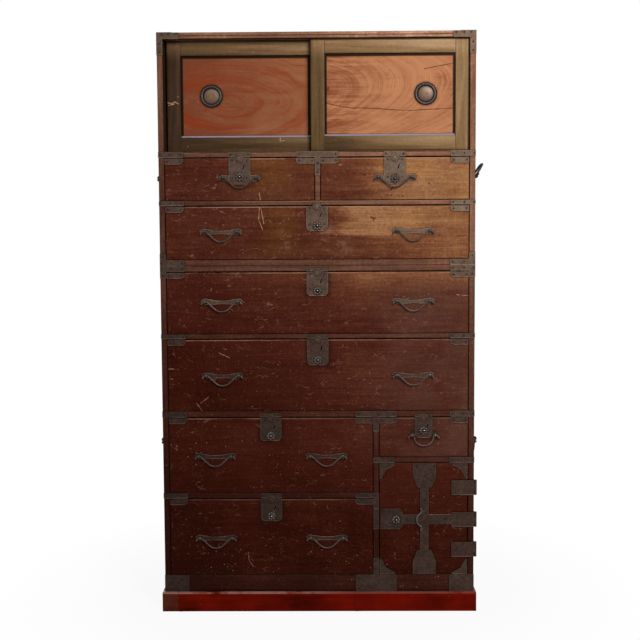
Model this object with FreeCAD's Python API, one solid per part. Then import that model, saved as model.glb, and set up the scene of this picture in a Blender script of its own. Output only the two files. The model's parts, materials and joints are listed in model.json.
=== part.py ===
import FreeCAD, Part
import math
import os

# Isho clothing chest: two stacked cases of drawers and sliding doors on a low plinth.
# X runs to the right as seen from the front, the front faces -Y and Z is up.
# The origin is on the floor, at the centre of the plinth's underside.

# Cases: outer sizes and board thicknesses
case_width = 950.0
case_depth = 430.0
side_board = 17.5
back_board = 8.0

# Plinth
plinth_height = 60.0
plinth_side_lip = 8.0
plinth_front_lip = 10.0
plinth_board = 24.0
plinth_end_face = 48.0
plinth_front_joint = 110.0
plinth_bearer = 60.0

# Lower case, from the plinth up: rails and openings
bottom_rail = 52.0
bottom_board = 18.0
left_lower_opening = 240.0
left_lower_rail = 16.0
left_upper_opening = 235.0
column_rail = 18.0
wide_3_opening = 222.0
wide_3_rail = 14.0
wide_2_opening = 190.0
lower_top_board = 17.0
safe_opening = 349.0
safe_rail = 16.6
mullion = 17.0
narrow_column = 272.5

# Upper case, from its bottom board up
upper_bottom_board = 18.0
wide_1_opening = 163.0
wide_1_rail = 14.0
half_opening = 130.0
door_sill = 14.0
sill_strip = 3.0
door_opening = 333.0
head_strip = 9.0
upper_top_board = 10.0
divider = 16.0
divider_centre = 2.3

# Rails and the dust boards behind them
rail_depth = 32.0
dust_board = 8.0

# Drawers
drawer_front = 20.0
drawer_side = 11.0
drawer_back = 10.0
drawer_bottom = 7.0
drawer_side_gap = 1.5
drawer_top_gap = 3.0
drawer_run_gap = 0.3
drawer_front_lift = 1.2
drawer_back_gap = 5.0
drawer_side_drop = 6.0

# Sliding doors and the strips that guide them
door_setback = 11.5
door_thickness = 18.0
door_play = 0.5
door_run_gap = 0.3
door_head_engage = 6.0
track_rib = 4.0
rear_strip = 8.0
door_overlap = 39.0
left_door_gap = 6.5
right_door_gap = 0.6
door_stile = 41.0
door_rail = 49.0
panel_thickness = 6.0
panel_recess = 6.0
panel_tongue = 6.0
groove_play = 0.05

# Round pulls of the sliding doors
pull_radius = 33.0
pull_ridge_radius = 30.0
pull_groove_radius = 24.5
pull_cup_radius = 27.0
pull_ridge_height = 3.2
pull_dome_height = 1.6
pull_groove_depth = 1.2
pull_cup_depth = 4.6
left_pull_inset = 133.0
right_pull_inset = 129.9
pull_rise = 172.7

# Cupboard door
safe_gap = 2.0
safe_thickness = 20.0

# Irons
case_iron = 0.9
iron_step = 0.3
wrap_depth = 45.0
corner_arm = 74.0
top_left_arm = 66.0
top_right_arm = 66.0
top_leg = 66.0
seam_leg = 20.0
tee_half_width = 62.0
half_tee_stem = 54.0
column_tee_stem = 45.0
bottom_tee_stem = 53.0
safe_rail_arm = 48.0
drawer_corner_width = 55.0
drawer_corner_height = 17.0
drawer_corner_round = 12.0

# Locks
lock_width = 65.0
small_lock_width = 53.0
lock_round = 13.0
keyhole_width = 4.0
keyhole_length = 12.0
keyhole_offset = 11.0
keyhole_below_top = 27.0
keyhole_tilt = 20.0
rosette_radius = 13.0
rosette_top_radius = 8.0
rosette_height = 2.4
boss_radius = 12.5
boss_top_radius = 9.5
boss_height = 2.4
button_radius = 4.5
button_reach = 9.0
button_depth = 14.0
pin_play = 0.06
lock_case_width = 46.0
lock_case_height = 38.0
lock_case_depth = 9.0
lock_case_drop = 7.0
bolt_width = 14.0
bolt_thickness = 5.0
bolt_height = 4.0

# Drop handles
wire_radius = 2.3
bail_drop = 30.5
bail_half_spacing = 49.5
bail_bottom_half = 12.6
bail_sweep_share = 0.95
stub_out = 11.0
stub_down = 7.0
stub_knob_radius = 3.0
straight_half = 4.4
bend_radius = 3.0
pivot_offset = 8.5
eye_radius = 4.4
eye_thickness = 4.5
shank_radius = 2.0
shank_depth = 14.5
wire_play = 0.05
small_bail_beside_lock = 8.5
small_bail_drop = 31.5
small_bottom_half = 24.0
washer_gap = 0.5

# Crescent plate behind a wide drawer's handle, from its posts and pivot line
crescent_tip = 17.0
crescent_tip_round = 3.0
crescent_lobe_height = 9.0
crescent_lobe_out = 7.0
crescent_lobe_round = 2.3
crescent_shoulder_in = 11.0
crescent_shoulder_drop = 2.3
crescent_shoulder_round = 11.0
crescent_dip_height = 2.6
crescent_dip_half = 15.2
crescent_dip_round = 30.0
crescent_depth = 10.0
crescent_thickness = 10.0
end_plate_gap = 0.3
end_plate_depth = 14.0

# Upright ring pull of the cupboard door
ring_half_spacing = 28.0
ring_drop = 15.0
ring_bottom_half = 9.6
ring_stub_out = 6.0
ring_stub_down = 2.0
ring_pivot_offset = 7.0
ring_left_of_strap = 9.0

# Carrying handles on the ends
side_half_spacing = 60.0
side_drop = 49.0
side_bottom_half = 34.0
side_sweep_share = 0.6
side_stub_out = 15.0
side_stub_down = 7.0
side_straight_half = 6.4
side_bend_radius = 4.5
side_wire_radius = 3.4
side_knob_radius = 4.6
side_pivot_offset = 24.0
side_shank_radius = 3.0
side_shank_depth = 9.2
side_eye_radius = 6.6
side_eye_thickness = 6.0
side_plate_width = 30.0
side_plate_height = 44.0
side_plate_round = 7.5
upper_side_rise = 276.0
lower_side_rise = 446.0
raised_turn = 148.0

# Cupboard door irons
strap_neck = 25.4
goblet_width = 70.5
goblet_foot_width = 44.0
goblet_side = 38.0
goblet_length = 74.0
strap_band = 30.0
strap_centre_share = 0.51
band_level_share = 0.497
safe_corner_leg = 47.0
safe_corner_tip = 5.0
safe_corner_cusp = 20.0
safe_lock_inset = 3.0
safe_lock_width = 67.6
safe_lock_height = 63.6
safe_lock_drop = 30.7
safe_button_inset = 20.0
safe_button_drop = 1.5
safe_keyhole_inset = 28.0
safe_keyhole_drop = 12.0

# Hinges of the cupboard door
hinge_level_shares = (0.224, 0.494, 0.781)
hinge_height = 46.0
hinge_strap = 1.8
hinge_strap_length = 48.5
hinge_barrel_radius = 4.5
hinge_barrel_gap = 0.3
hinge_pin_radius = 1.6
hinge_leaf_depth = 40.0
hinge_middle_share = 0.4

# Places in the plan
half_width = case_width / 2
inner = half_width - side_board
plinth_depth = case_depth + plinth_front_lip
front = -plinth_depth / 2 + plinth_front_lip
back = front + case_depth
divider_left = divider_centre - divider / 2
divider_right = divider_centre + divider / 2
mullion_right = inner - narrow_column
mullion_left = mullion_right - mullion
back_inner = back - back_board
drawer_iron = case_iron + iron_step

# Levels, from the floor up
lower_floor = plinth_height
left_lower_floor = lower_floor + bottom_rail
left_lower_top = left_lower_floor + left_lower_opening
left_upper_floor = left_lower_top + left_lower_rail
left_upper_top = left_upper_floor + left_upper_opening
wide_3_floor = left_upper_top + column_rail
wide_3_top = wide_3_floor + wide_3_opening
wide_2_floor = wide_3_top + wide_3_rail
wide_2_top = wide_2_floor + wide_2_opening
lower_top = wide_2_top + lower_top_board
safe_top = left_lower_floor + safe_opening
small_floor = safe_top + safe_rail
wide_1_floor = lower_top + upper_bottom_board
wide_1_top = wide_1_floor + wide_1_opening
half_floor = wide_1_top + wide_1_rail
half_top = half_floor + half_opening
sill_level = half_top + door_sill
door_low = sill_level + sill_strip
door_high = door_low + door_opening
head_level = door_high + head_strip
case_top = head_level + upper_top_board

upper_side_level = lower_top + upper_side_rise
lower_side_level = lower_floor + lower_side_rise

# Sliding doors: edges, and the places of their pulls
door_width = inner + (door_overlap - left_door_gap - right_door_gap) / 2
left_door_edge = -inner + left_door_gap
right_door_edge = inner - right_door_gap
door_foot = sill_level + door_run_gap
pull_level = door_foot + pull_rise

# Cupboard door: edges, and the places of its irons
safe_left = mullion_right + safe_gap
safe_right = inner - safe_gap
safe_low = left_lower_floor + safe_gap
safe_high = safe_top - safe_gap
safe_width = safe_right - safe_left
safe_height = safe_high - safe_low
strap_centre = safe_left + safe_width * strap_centre_share
band_level = safe_low + safe_height * band_level_share
ring_x = strap_centre - ring_left_of_strap
safe_lock_left = safe_left + safe_lock_inset
safe_lock_right = safe_lock_left + safe_lock_width
safe_lock_low = band_level - safe_lock_drop
safe_lock_high = safe_lock_low + safe_lock_height
safe_button_x = safe_lock_right - safe_button_inset
safe_button_z = band_level - safe_button_drop
safe_keyhole_x = safe_lock_left + safe_keyhole_inset
safe_keyhole_z = band_level - safe_keyhole_drop
hinge_levels = [safe_low + safe_height * share for share in hinge_level_shares]
hinge_strap_end = safe_right - hinge_strap_length

# Drawers: places of the locks and handles across the front
half_centre_left = (divider_left - inner) / 2
half_centre_right = (divider_right + inner) / 2
column_centre = (mullion_left - inner) / 2
column_half = (mullion_left + inner) / 2
small_centre = (mullion_right + inner) / 2
wide_bail_share = 0.633
left_bail_share = 0.5444
wide_bails = {"left": -inner * wide_bail_share, "right": inner * wide_bail_share}
left_bails = {"left": column_centre - column_half * left_bail_share,
              "right": column_centre + column_half * left_bail_share}

# Drawers: height of the handles' pivots, as shares of the opening or down from its top
wide_1_bail_share = 0.525
wide_2_bail_share = 0.524
wide_3_bail_share = 0.498
left_upper_bail_share = 0.4915
left_lower_bail_share = 0.4896
half_bail_below = 61.0
small_bail_below = 56.4

# Drawers: lock plates, their buttons, and the strike plates on the rails above
half_lock_height = 78.0
wide_1_lock_height = 74.0
wide_2_lock_height = 71.5
wide_3_lock_height = 78.0
left_upper_lock_height = 70.0
left_lower_lock_height = 68.0
small_lock_height = 62.0
high_button_rise = 22.0
low_button_rise = 15.0
half_strike_share = 0.94
wide_2_strike_share = 0.59
wide_3_strike_share = 0.93
left_upper_strike_share = 0.67
left_lower_strike_share = 0.94
small_strike_share = 0.44

drawers = [
    dict(name="half_drawer_left", left=-inner, right=divider_left, floor=half_floor, top=half_top,
         bails={"centre": half_centre_left}, bail_level=half_top - half_bail_below, handle="half",
         lock_x=half_centre_left, lock_width=lock_width, lock_height=half_lock_height,
         button_rise=high_button_rise, strike=(door_low - half_top) * half_strike_share),
    dict(name="half_drawer_right", left=divider_right, right=inner, floor=half_floor, top=half_top,
         bails={"centre": half_centre_right}, bail_level=half_top - half_bail_below, handle="half",
         lock_x=half_centre_right, lock_width=lock_width, lock_height=half_lock_height,
         button_rise=low_button_rise, strike=(door_low - half_top) * half_strike_share),
    dict(name="wide_drawer_1", left=-inner, right=inner, floor=wide_1_floor, top=wide_1_top,
         bails=wide_bails, bail_level=wide_1_floor + wide_1_opening * wide_1_bail_share, handle="wide",
         lock_x=0, lock_width=lock_width, lock_height=wide_1_lock_height,
         button_rise=low_button_rise, strike=0),
    dict(name="wide_drawer_2", left=-inner, right=inner, floor=wide_2_floor, top=wide_2_top,
         bails=wide_bails, bail_level=wide_2_floor + wide_2_opening * wide_2_bail_share, handle="wide",
         lock_x=0, lock_width=lock_width, lock_height=wide_2_lock_height,
         button_rise=low_button_rise, strike=lower_top_board * wide_2_strike_share),
    dict(name="wide_drawer_3", left=-inner, right=inner, floor=wide_3_floor, top=wide_3_top,
         bails=wide_bails, bail_level=wide_3_floor + wide_3_opening * wide_3_bail_share, handle="wide",
         lock_x=0, lock_width=lock_width, lock_height=wide_3_lock_height,
         button_rise=low_button_rise, strike=wide_3_rail * wide_3_strike_share),
    dict(name="left_drawer_upper", left=-inner, right=mullion_left,
         floor=left_upper_floor, top=left_upper_top, bails=left_bails,
         bail_level=left_upper_floor + left_upper_opening * left_upper_bail_share, handle="wide",
         lock_x=column_centre, lock_width=lock_width, lock_height=left_upper_lock_height,
         button_rise=low_button_rise, strike=column_rail * left_upper_strike_share),
    dict(name="left_drawer_lower", left=-inner, right=mullion_left,
         floor=left_lower_floor, top=left_lower_top, bails=left_bails,
         bail_level=left_lower_floor + left_lower_opening * left_lower_bail_share, handle="wide",
         lock_x=column_centre, lock_width=lock_width, lock_height=left_lower_lock_height,
         button_rise=low_button_rise, strike=left_lower_rail * left_lower_strike_share),
    dict(name="small_drawer", left=mullion_right, right=inner, floor=small_floor, top=left_upper_top,
         bails={"centre": small_centre}, bail_level=left_upper_top - small_bail_below, handle="small",
         lock_x=small_centre, lock_width=small_lock_width, lock_height=small_lock_height,
         button_rise=high_button_rise, strike=column_rail * small_strike_share),
]


def vector(x, y, z):
    return FreeCAD.Vector(x, y, z)


def box(x_low, x_high, y_low, y_high, z_low, z_high):
    return Part.makeBox(x_high - x_low, y_high - y_low, z_high - z_low, vector(x_low, y_low, z_low))


def rod(radius, start, end):
    along = end - start
    return Part.makeCylinder(radius, along.Length, start, along)


def cone(low_radius, high_radius, start, end):
    along = end - start
    return Part.makeCone(low_radius, high_radius, along.Length, start, along)


def join(shapes):
    whole = shapes[0].fuse(shapes[1:])
    return whole.removeSplitter()


def save(name, shapes):
    solids = [solid for shape in shapes for solid in shape.Solids]
    Part.makeCompound(solids).exportStep("parts/" + name + ".step")


def turned(shape, axis, angle, centre):
    moved = shape.copy()
    moved.rotate(centre, axis, angle)
    return moved


def moved_to(shape, place):
    moved = shape.copy()
    moved.translate(place)
    return moved


def path_edges(corners, closed):
    """Lines and tangent arcs in the XZ plane, through corners given as (x, z, radius)."""
    count = len(corners)
    entries = []
    exits = []
    arcs = []
    for index, (x, z, radius) in enumerate(corners):
        here = vector(x, 0, z)
        entry = here
        leave = here
        arc = None
        if radius > 0:
            before = corners[index - 1]
            after = corners[(index + 1) % count]
            to_before = (vector(before[0], 0, before[1]) - here).normalize()
            to_after = (vector(after[0], 0, after[1]) - here).normalize()
            half_angle = to_before.getAngle(to_after) / 2
            entry = here + to_before * (radius / math.tan(half_angle))
            leave = here + to_after * (radius / math.tan(half_angle))
            inward = (to_before + to_after).normalize()
            middle = here + inward * (radius / math.sin(half_angle) - radius)
            arc = Part.Arc(entry, middle, leave).toShape()
        entries.append(entry)
        exits.append(leave)
        arcs.append(arc)
    edges = []
    last = count if closed else count - 1
    for index in range(count):
        if arcs[index]:
            edges.append(arcs[index])
        if index < last:
            edges.append(Part.LineSegment(exits[index], entries[(index + 1) % count]).toShape())
    return edges


def plate(corners, back_y, thickness):
    """A flat plate with its outline in the XZ plane, standing proud of back_y toward the front."""
    face = Part.Face(Part.Wire(path_edges(corners, True)))
    solid = face.extrude(vector(0, -thickness, 0))
    return moved_to(solid, vector(0, back_y, 0))


def mirrored_corners(corners):
    return corners + [(-x, z, radius) for x, z, radius in reversed(corners)]


# Drop handles, drawn on a face at y = 0 with the pivot line at z = 0

def bail_solid(half_spacing, drop, bottom_half, out, down, radius, offset,
               sweep_share=bail_sweep_share, straight=straight_half,
               bend=bend_radius, knob=stub_knob_radius):
    """A bent wire: knob, stub, straight through the eye, flank, round bottom, and back up."""
    turn = math.atan2(drop, half_spacing - straight - bottom_half)
    sweep_radius = sweep_share * bottom_half / math.tan(turn / 2)
    half_path = [
        (-half_spacing - out, -down, 0),
        (-half_spacing - straight, 0, bend),
        (-half_spacing + straight, 0, bend),
        (-bottom_half, -drop, sweep_radius),
    ]
    path = Part.Wire(path_edges(mirrored_corners(half_path), False))
    start = vector(half_path[0][0], 0, half_path[0][1])
    along = vector(out - straight, 0, down)
    section = Part.Wire(Part.makeCircle(radius, start, along))
    wire = path.makePipeShell([section], True, False)
    knobs = [
        Part.makeSphere(knob, start),
        Part.makeSphere(knob, vector(-start.x, 0, start.z)),
    ]
    return moved_to(wire.fuse(knobs), vector(0, -offset, 0))


def eye_post(x, offset, outer, radius, depth, thickness=eye_thickness, shank=shank_radius):
    """An eye on a shank that goes back through its plate into the wood."""
    half_thick = thickness / 2
    eye = rod(outer, vector(x - half_thick, -offset, 0), vector(x + half_thick, -offset, 0))
    stem = rod(shank, vector(x, -offset, 0), vector(x, depth, 0))
    hole = rod(radius + wire_play, vector(x - thickness, -offset, 0),
               vector(x + thickness, -offset, 0))
    return eye.fuse(stem).cut(hole)


def shank_hole(x, depth, shank=shank_radius):
    return rod(shank + pin_play, vector(x, -depth, 0), vector(x, depth + pin_play, 0))


def crescent_plate():
    """A plate with a lobe round each post and a narrow middle, cusped along the top."""
    post = bail_half_spacing
    shoulder = crescent_lobe_height - crescent_shoulder_drop
    half_outline = [
        (0, crescent_dip_height - crescent_thickness, crescent_dip_round),
        (post, -crescent_depth, crescent_depth),
        (post + crescent_tip, 0, crescent_tip_round),
        (post + crescent_lobe_out, crescent_lobe_height, crescent_lobe_round),
        (post - crescent_shoulder_in, shoulder, crescent_shoulder_round),
        (crescent_dip_half, crescent_dip_height, crescent_dip_round),
    ]
    left_half = [(-x, z, radius) for x, z, radius in reversed(half_outline[1:])]
    return plate(half_outline + left_half, 0, drawer_iron)


def end_plates():
    """Two short plates, one behind each eye, that run up to the sides of the lock plate."""
    post = bail_half_spacing
    inner_edge = lock_width / 2 + end_plate_gap
    outline = [
        (post + crescent_tip, 0, crescent_tip_round),
        (post + crescent_lobe_out, crescent_lobe_height, crescent_lobe_round),
        (inner_edge, crescent_lobe_height - crescent_shoulder_drop, 0),
        (inner_edge, -end_plate_depth, 0),
        (post, -crescent_depth, crescent_tip_round),
    ]
    right = plate(outline, 0, drawer_iron)
    left = plate([(-x, z, radius) for x, z, radius in outline], 0, drawer_iron)
    return [left, right]


def washers(half_spacing):
    """Round plates behind the eyes of the small handle."""
    radius = small_bail_beside_lock - washer_gap
    return [
        rod(radius, vector(x, 0, 0), vector(x, -drawer_iron, 0))
        for x in (-half_spacing, half_spacing)
    ]


small_bail_half_spacing = small_lock_width / 2 + small_bail_beside_lock
handle_sizes = {
    "wide": (bail_half_spacing, bail_drop, bail_bottom_half),
    "half": (bail_half_spacing, bail_drop, bail_bottom_half),
    "small": (small_bail_half_spacing, small_bail_drop, small_bottom_half),
}


def handle_backplates(kind):
    if kind == "wide":
        return [crescent_plate()]
    if kind == "half":
        return end_plates()
    return washers(small_bail_half_spacing)


# Locks, drawn on a face at y = 0 with x = 0 at the middle of the plate

def keyhole(x, z, tilt):
    half_long = keyhole_length / 2
    round_end = keyhole_width / 2
    slot = join([
        box(x - round_end, x + round_end, -lock_case_depth, pin_play, z - half_long, z + half_long),
        rod(round_end, vector(x, -lock_case_depth, z + half_long), vector(x, pin_play, z + half_long)),
        rod(round_end, vector(x, -lock_case_depth, z - half_long), vector(x, pin_play, z - half_long)),
    ])
    return turned(slot, vector(0, 1, 0), tilt, vector(x, 0, z))


def button_hole(x, z):
    reach = drawer_front + lock_case_depth
    return rod(button_radius + pin_play, vector(x, -reach, z), vector(x, drawer_front, z))


def rosette(x, z):
    low = vector(x, -drawer_iron, z)
    high = vector(x, -drawer_iron - rosette_height, z)
    return cone(rosette_radius, rosette_top_radius, low, high).cut(button_hole(x, z))


def push_button(x, z):
    """A round pin with a domed head, pressed inward to free the lock."""
    dome_centre = vector(x, button_radius - button_reach, z)
    pin = rod(button_radius, dome_centre, vector(x, button_depth, z))
    return pin.fuse(Part.makeSphere(button_radius, dome_centre))


def lock_plate(width, height, button_z):
    outline = [
        (-width / 2, 0, lock_round),
        (width / 2, 0, lock_round),
        (width / 2, height, 0),
        (-width / 2, height, 0),
    ]
    sheet = plate(outline, 0, drawer_iron)
    slot = keyhole(keyhole_offset, height - keyhole_below_top, keyhole_tilt)
    return sheet.cut(slot).cut(button_hole(0, button_z))


def boss(z):
    return cone(boss_radius, boss_top_radius, vector(0, -drawer_iron, z),
                vector(0, -drawer_iron - boss_height, z))


def lock_case(top_z):
    """The iron case behind the wood, and the bolt that stands out of its top."""
    high = top_z - lock_case_drop
    case = box(-lock_case_width / 2, lock_case_width / 2, drawer_front,
               drawer_front + lock_case_depth, high - lock_case_height, high)
    bolt = box(-bolt_width / 2, bolt_width / 2, drawer_front,
               drawer_front + bolt_thickness, high, high + bolt_height)
    return [case, bolt]


# Case boards and shelves

def shelf(x_low, x_high, top_z, rail_height):
    """A rail along the front and the dust board behind it, both under one level."""
    return [
        box(x_low, x_high, front, front + rail_depth, top_z - rail_height, top_z),
        box(x_low, x_high, front + rail_depth, back_inner, top_z - dust_board, top_z),
    ]


def make_plinth():
    x_out = half_width + plinth_side_lip
    y_front = front - plinth_front_lip
    y_inner = y_front + plinth_board
    y_back = back - plinth_board
    face_left = -x_out + plinth_end_face
    save("plinth", [
        box(face_left, plinth_front_joint, y_front, y_inner, 0, plinth_height),
        box(plinth_front_joint, x_out, y_front, y_inner, 0, plinth_height),
        box(-x_out, face_left, y_front, y_inner, 0, plinth_height),
        box(-x_out, -x_out + plinth_board, y_inner, back, 0, plinth_height),
        box(x_out - plinth_board, x_out, y_inner, back, 0, plinth_height),
        box(-x_out + plinth_board, x_out - plinth_board, y_back, back, 0, plinth_height),
        box(-plinth_bearer / 2, plinth_bearer / 2, y_inner, y_back, 0, plinth_height),
    ])


def make_lower_case():
    rail_top = left_lower_floor
    save("lower_case_boards", [
        side_board_solid(-1, lower_side_level, lower_floor, wide_2_top),
        side_board_solid(1, lower_side_level, lower_floor, wide_2_top),
        box(-half_width, half_width, front, back, wide_2_top, lower_top),
        box(-inner, inner, front, front + rail_depth, lower_floor, rail_top),
        box(-inner, inner, front + rail_depth, back_inner, rail_top - bottom_board, rail_top),
    ])
    save("lower_case_shelves",
         shelf(-inner, mullion_left, left_upper_floor, left_lower_rail)
         + shelf(mullion_right, inner, small_floor, safe_rail)
         + shelf(-inner, inner, wide_3_floor, column_rail)
         + shelf(-inner, inner, wide_2_floor, wide_3_rail)
         + [box(mullion_left, mullion_right, front, back_inner, left_lower_floor, left_upper_top)])
    save("lower_case_back", [box(-inner, inner, back_inner, back, lower_floor, wide_2_top)])


def track_strips(z_low, z_high):
    """Three strips that leave two grooves between them, one for each sliding door."""
    first_groove = front + door_setback - door_play
    second_groove = first_groove + door_thickness + 2 * door_play + track_rib
    rear = second_groove + door_thickness + 2 * door_play
    return [
        box(-inner, inner, front, first_groove, z_low, z_high),
        box(-inner, inner, second_groove - track_rib, second_groove, z_low, z_high),
        box(-inner, inner, rear, rear + rear_strip, z_low, z_high),
    ]


def make_upper_case():
    save("upper_case_boards", [
        side_board_solid(-1, upper_side_level, lower_top, head_level),
        side_board_solid(1, upper_side_level, lower_top, head_level),
        box(-half_width, half_width, front, back, head_level, case_top),
        box(-inner, inner, front, back_inner, lower_top, wide_1_floor),
    ])
    save("upper_case_shelves",
         shelf(-inner, inner, half_floor, wide_1_rail)
         + shelf(-inner, inner, sill_level, door_sill)
         + [box(divider_left, divider_right, front, back_inner, half_floor, half_top)]
         + track_strips(sill_level, door_low)
         + track_strips(door_high, head_level))
    save("upper_case_back", [box(-inner, inner, back_inner, back, lower_top, head_level)])


# Case irons

def wrap(side, z_low, z_high, reach):
    """A plate on the front that turns the corner onto the end of the case."""
    outer = half_width + case_iron
    front_leg = [side * (half_width - reach), side * outer]
    end_leg = [side * half_width, side * outer]
    return [
        box(min(front_leg), max(front_leg), front - case_iron, front, z_low, z_high),
        box(min(end_leg), max(end_leg), front - case_iron, front + wrap_depth, z_low, z_high),
    ]


def strip(x_low, x_high, z_low, z_high):
    return box(x_low, x_high, front - case_iron, front, z_low, z_high)


def strike_plate(drawer):
    middle = drawer["lock_x"]
    reach = drawer["lock_width"] / 2
    return strip(middle - reach, middle + reach, drawer["top"], drawer["top"] + drawer["strike"])


def side_place(side, level):
    return vector(side * half_width, (front + back) / 2, level)


def on_side(shape, side, level):
    """Turn a shape drawn on the front face onto one end of the case."""
    flat = turned(shape, vector(0, 0, 1), side * 90, vector(0, 0, 0))
    return moved_to(flat, side_place(side, level))


def side_board_solid(side, level, z_low, z_high):
    """An end board of a case, with the holes for the shanks of its carrying handle."""
    faces = [side * inner, side * half_width]
    board = box(min(faces), max(faces), front, back, z_low, z_high)
    holes = [
        on_side(shank_hole(x, side_shank_depth, side_shank_radius), side, level)
        for x in (-side_half_spacing, side_half_spacing)
    ]
    return board.cut(holes)


def side_handle_irons(side, level):
    """Two plates and two eye posts of one carrying handle."""
    pieces = []
    for x in (-side_half_spacing, side_half_spacing):
        half_wide = side_plate_width / 2
        half_high = side_plate_height / 2
        outline = [
            (x - half_wide, -half_high, side_plate_round),
            (x + half_wide, -half_high, side_plate_round),
            (x + half_wide, half_high, side_plate_round),
            (x - half_wide, half_high, side_plate_round),
        ]
        pieces.append(plate(outline, 0, case_iron).cut(shank_hole(x, side_shank_depth, side_shank_radius)))
        pieces.append(eye_post(x, side_pivot_offset, side_eye_radius, side_wire_radius,
                               side_shank_depth, side_eye_thickness, side_shank_radius))
    return [on_side(piece, side, level) for piece in pieces]


def side_bail(side, level, raised):
    bail = bail_solid(side_half_spacing, side_drop, side_bottom_half, side_stub_out,
                      side_stub_down, side_wire_radius, side_pivot_offset, side_sweep_share,
                      side_straight_half, side_bend_radius, side_knob_radius)
    if raised:
        bail = turned(bail, vector(-1, 0, 0), raised_turn, vector(0, -side_pivot_offset, 0))
    return on_side(bail, side, level)


def hinge_axis():
    x = half_width + hinge_barrel_radius + hinge_barrel_gap
    y = front - hinge_strap + hinge_barrel_radius
    return x, y


def fixed_hinge(level):
    """The leaf on the end of the case, its two knuckles, and the pin through them."""
    x, y = hinge_axis()
    low = level - hinge_height / 2
    high = level + hinge_height / 2
    half_middle = hinge_height * hinge_middle_share / 2
    leaf_back = front + hinge_leaf_depth
    leaf = box(half_width, half_width + hinge_strap, y + hinge_barrel_radius, leaf_back, low, high)
    knuckles = []
    for z_low, z_high in ((low, level - half_middle), (level + half_middle, high)):
        tongue = box(half_width, half_width + hinge_strap, y, y + hinge_barrel_radius, z_low, z_high)
        knuckles.append(tongue.fuse(rod(hinge_barrel_radius, vector(x, y, z_low), vector(x, y, z_high))))
    bore = rod(hinge_pin_radius + pin_play, vector(x, y, low), vector(x, y, high))
    pin = rod(hinge_pin_radius, vector(x, y, low), vector(x, y, high))
    return [join([leaf] + knuckles).cut(bore), pin]


def make_lower_irons():
    rail_top = left_lower_floor
    pieces = []
    for side in (-1, 1):
        pieces.append(join(wrap(side, lower_floor, rail_top, corner_arm)))
        pieces.append(join(wrap(side, left_upper_top, wide_3_floor, corner_arm)))
        pieces.append(join(wrap(side, wide_3_top, wide_2_floor, corner_arm)))
        pieces.append(join(wrap(side, wide_2_top, lower_top, corner_arm)
                           + wrap(side, wide_2_top - seam_leg, wide_2_top, side_board)))
        pieces += side_handle_irons(side, lower_side_level)
    pieces.append(join(wrap(-1, left_lower_top, left_upper_floor, corner_arm)))
    pieces.append(join(wrap(1, safe_top, small_floor, corner_arm)))
    mullion_centre = (mullion_left + mullion_right) / 2
    pieces.append(join([
        strip(mullion_centre - tee_half_width, mullion_centre + tee_half_width,
              left_upper_top, wide_3_floor),
        strip(mullion_left, mullion_right, left_upper_top - column_tee_stem, left_upper_top),
    ]))
    pieces.append(join([
        strip(mullion_centre - tee_half_width, mullion_centre + tee_half_width, lower_floor, rail_top),
        strip(mullion_left, mullion_right, rail_top, rail_top + bottom_tee_stem),
    ]))
    pieces.append(join([
        strip(mullion_centre - tee_half_width, mullion_right, left_lower_top, left_upper_floor),
        strip(mullion_left, mullion_right, safe_lock_high, left_lower_top),
    ]))
    pieces.append(strip(mullion_left, mullion_right + safe_rail_arm, safe_top, small_floor))
    pieces.append(strip(mullion_left, mullion_right, safe_lock_low, safe_lock_high))
    for drawer in drawers:
        if drawer["strike"] and drawer["top"] < lower_top:
            pieces.append(strike_plate(drawer))
    for level in hinge_levels:
        pieces += fixed_hinge(level)
    save("lower_case_irons", pieces)


def make_upper_irons():
    pieces = []
    top_arms = {-1: top_left_arm, 1: top_right_arm}
    for side in (-1, 1):
        reach = [side * (half_width - wrap_depth), side * (half_width + case_iron)]
        cap = box(min(reach), max(reach), front - case_iron, front + wrap_depth,
                  case_top, case_top + case_iron)
        pieces.append(join([cap] + wrap(side, door_high, case_top, top_arms[side])
                           + wrap(side, case_top - top_leg, door_high, side_board)))
        pieces.append(join(wrap(side, half_top, door_low, corner_arm)))
        pieces.append(join(wrap(side, wide_1_top, half_floor, corner_arm)))
        pieces.append(join(wrap(side, lower_top, wide_1_floor, corner_arm)
                           + wrap(side, wide_1_floor, wide_1_floor + seam_leg, side_board)))
        pieces += side_handle_irons(side, upper_side_level)
    pieces.append(join([
        strip(divider_centre - tee_half_width, divider_centre + tee_half_width, half_top, door_low),
        strip(divider_left, divider_right, half_top - half_tee_stem, half_top),
    ]))
    for drawer in drawers:
        if drawer["strike"] and drawer["top"] > lower_top:
            pieces.append(strike_plate(drawer))
    save("upper_case_irons", pieces)


# Drawers

def drawer_place(drawer, x):
    return vector(x, front, drawer["bail_level"])


def lock_place(drawer):
    top = drawer["top"] - drawer_top_gap
    return vector(drawer["lock_x"], front, top - drawer["lock_height"])


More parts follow.
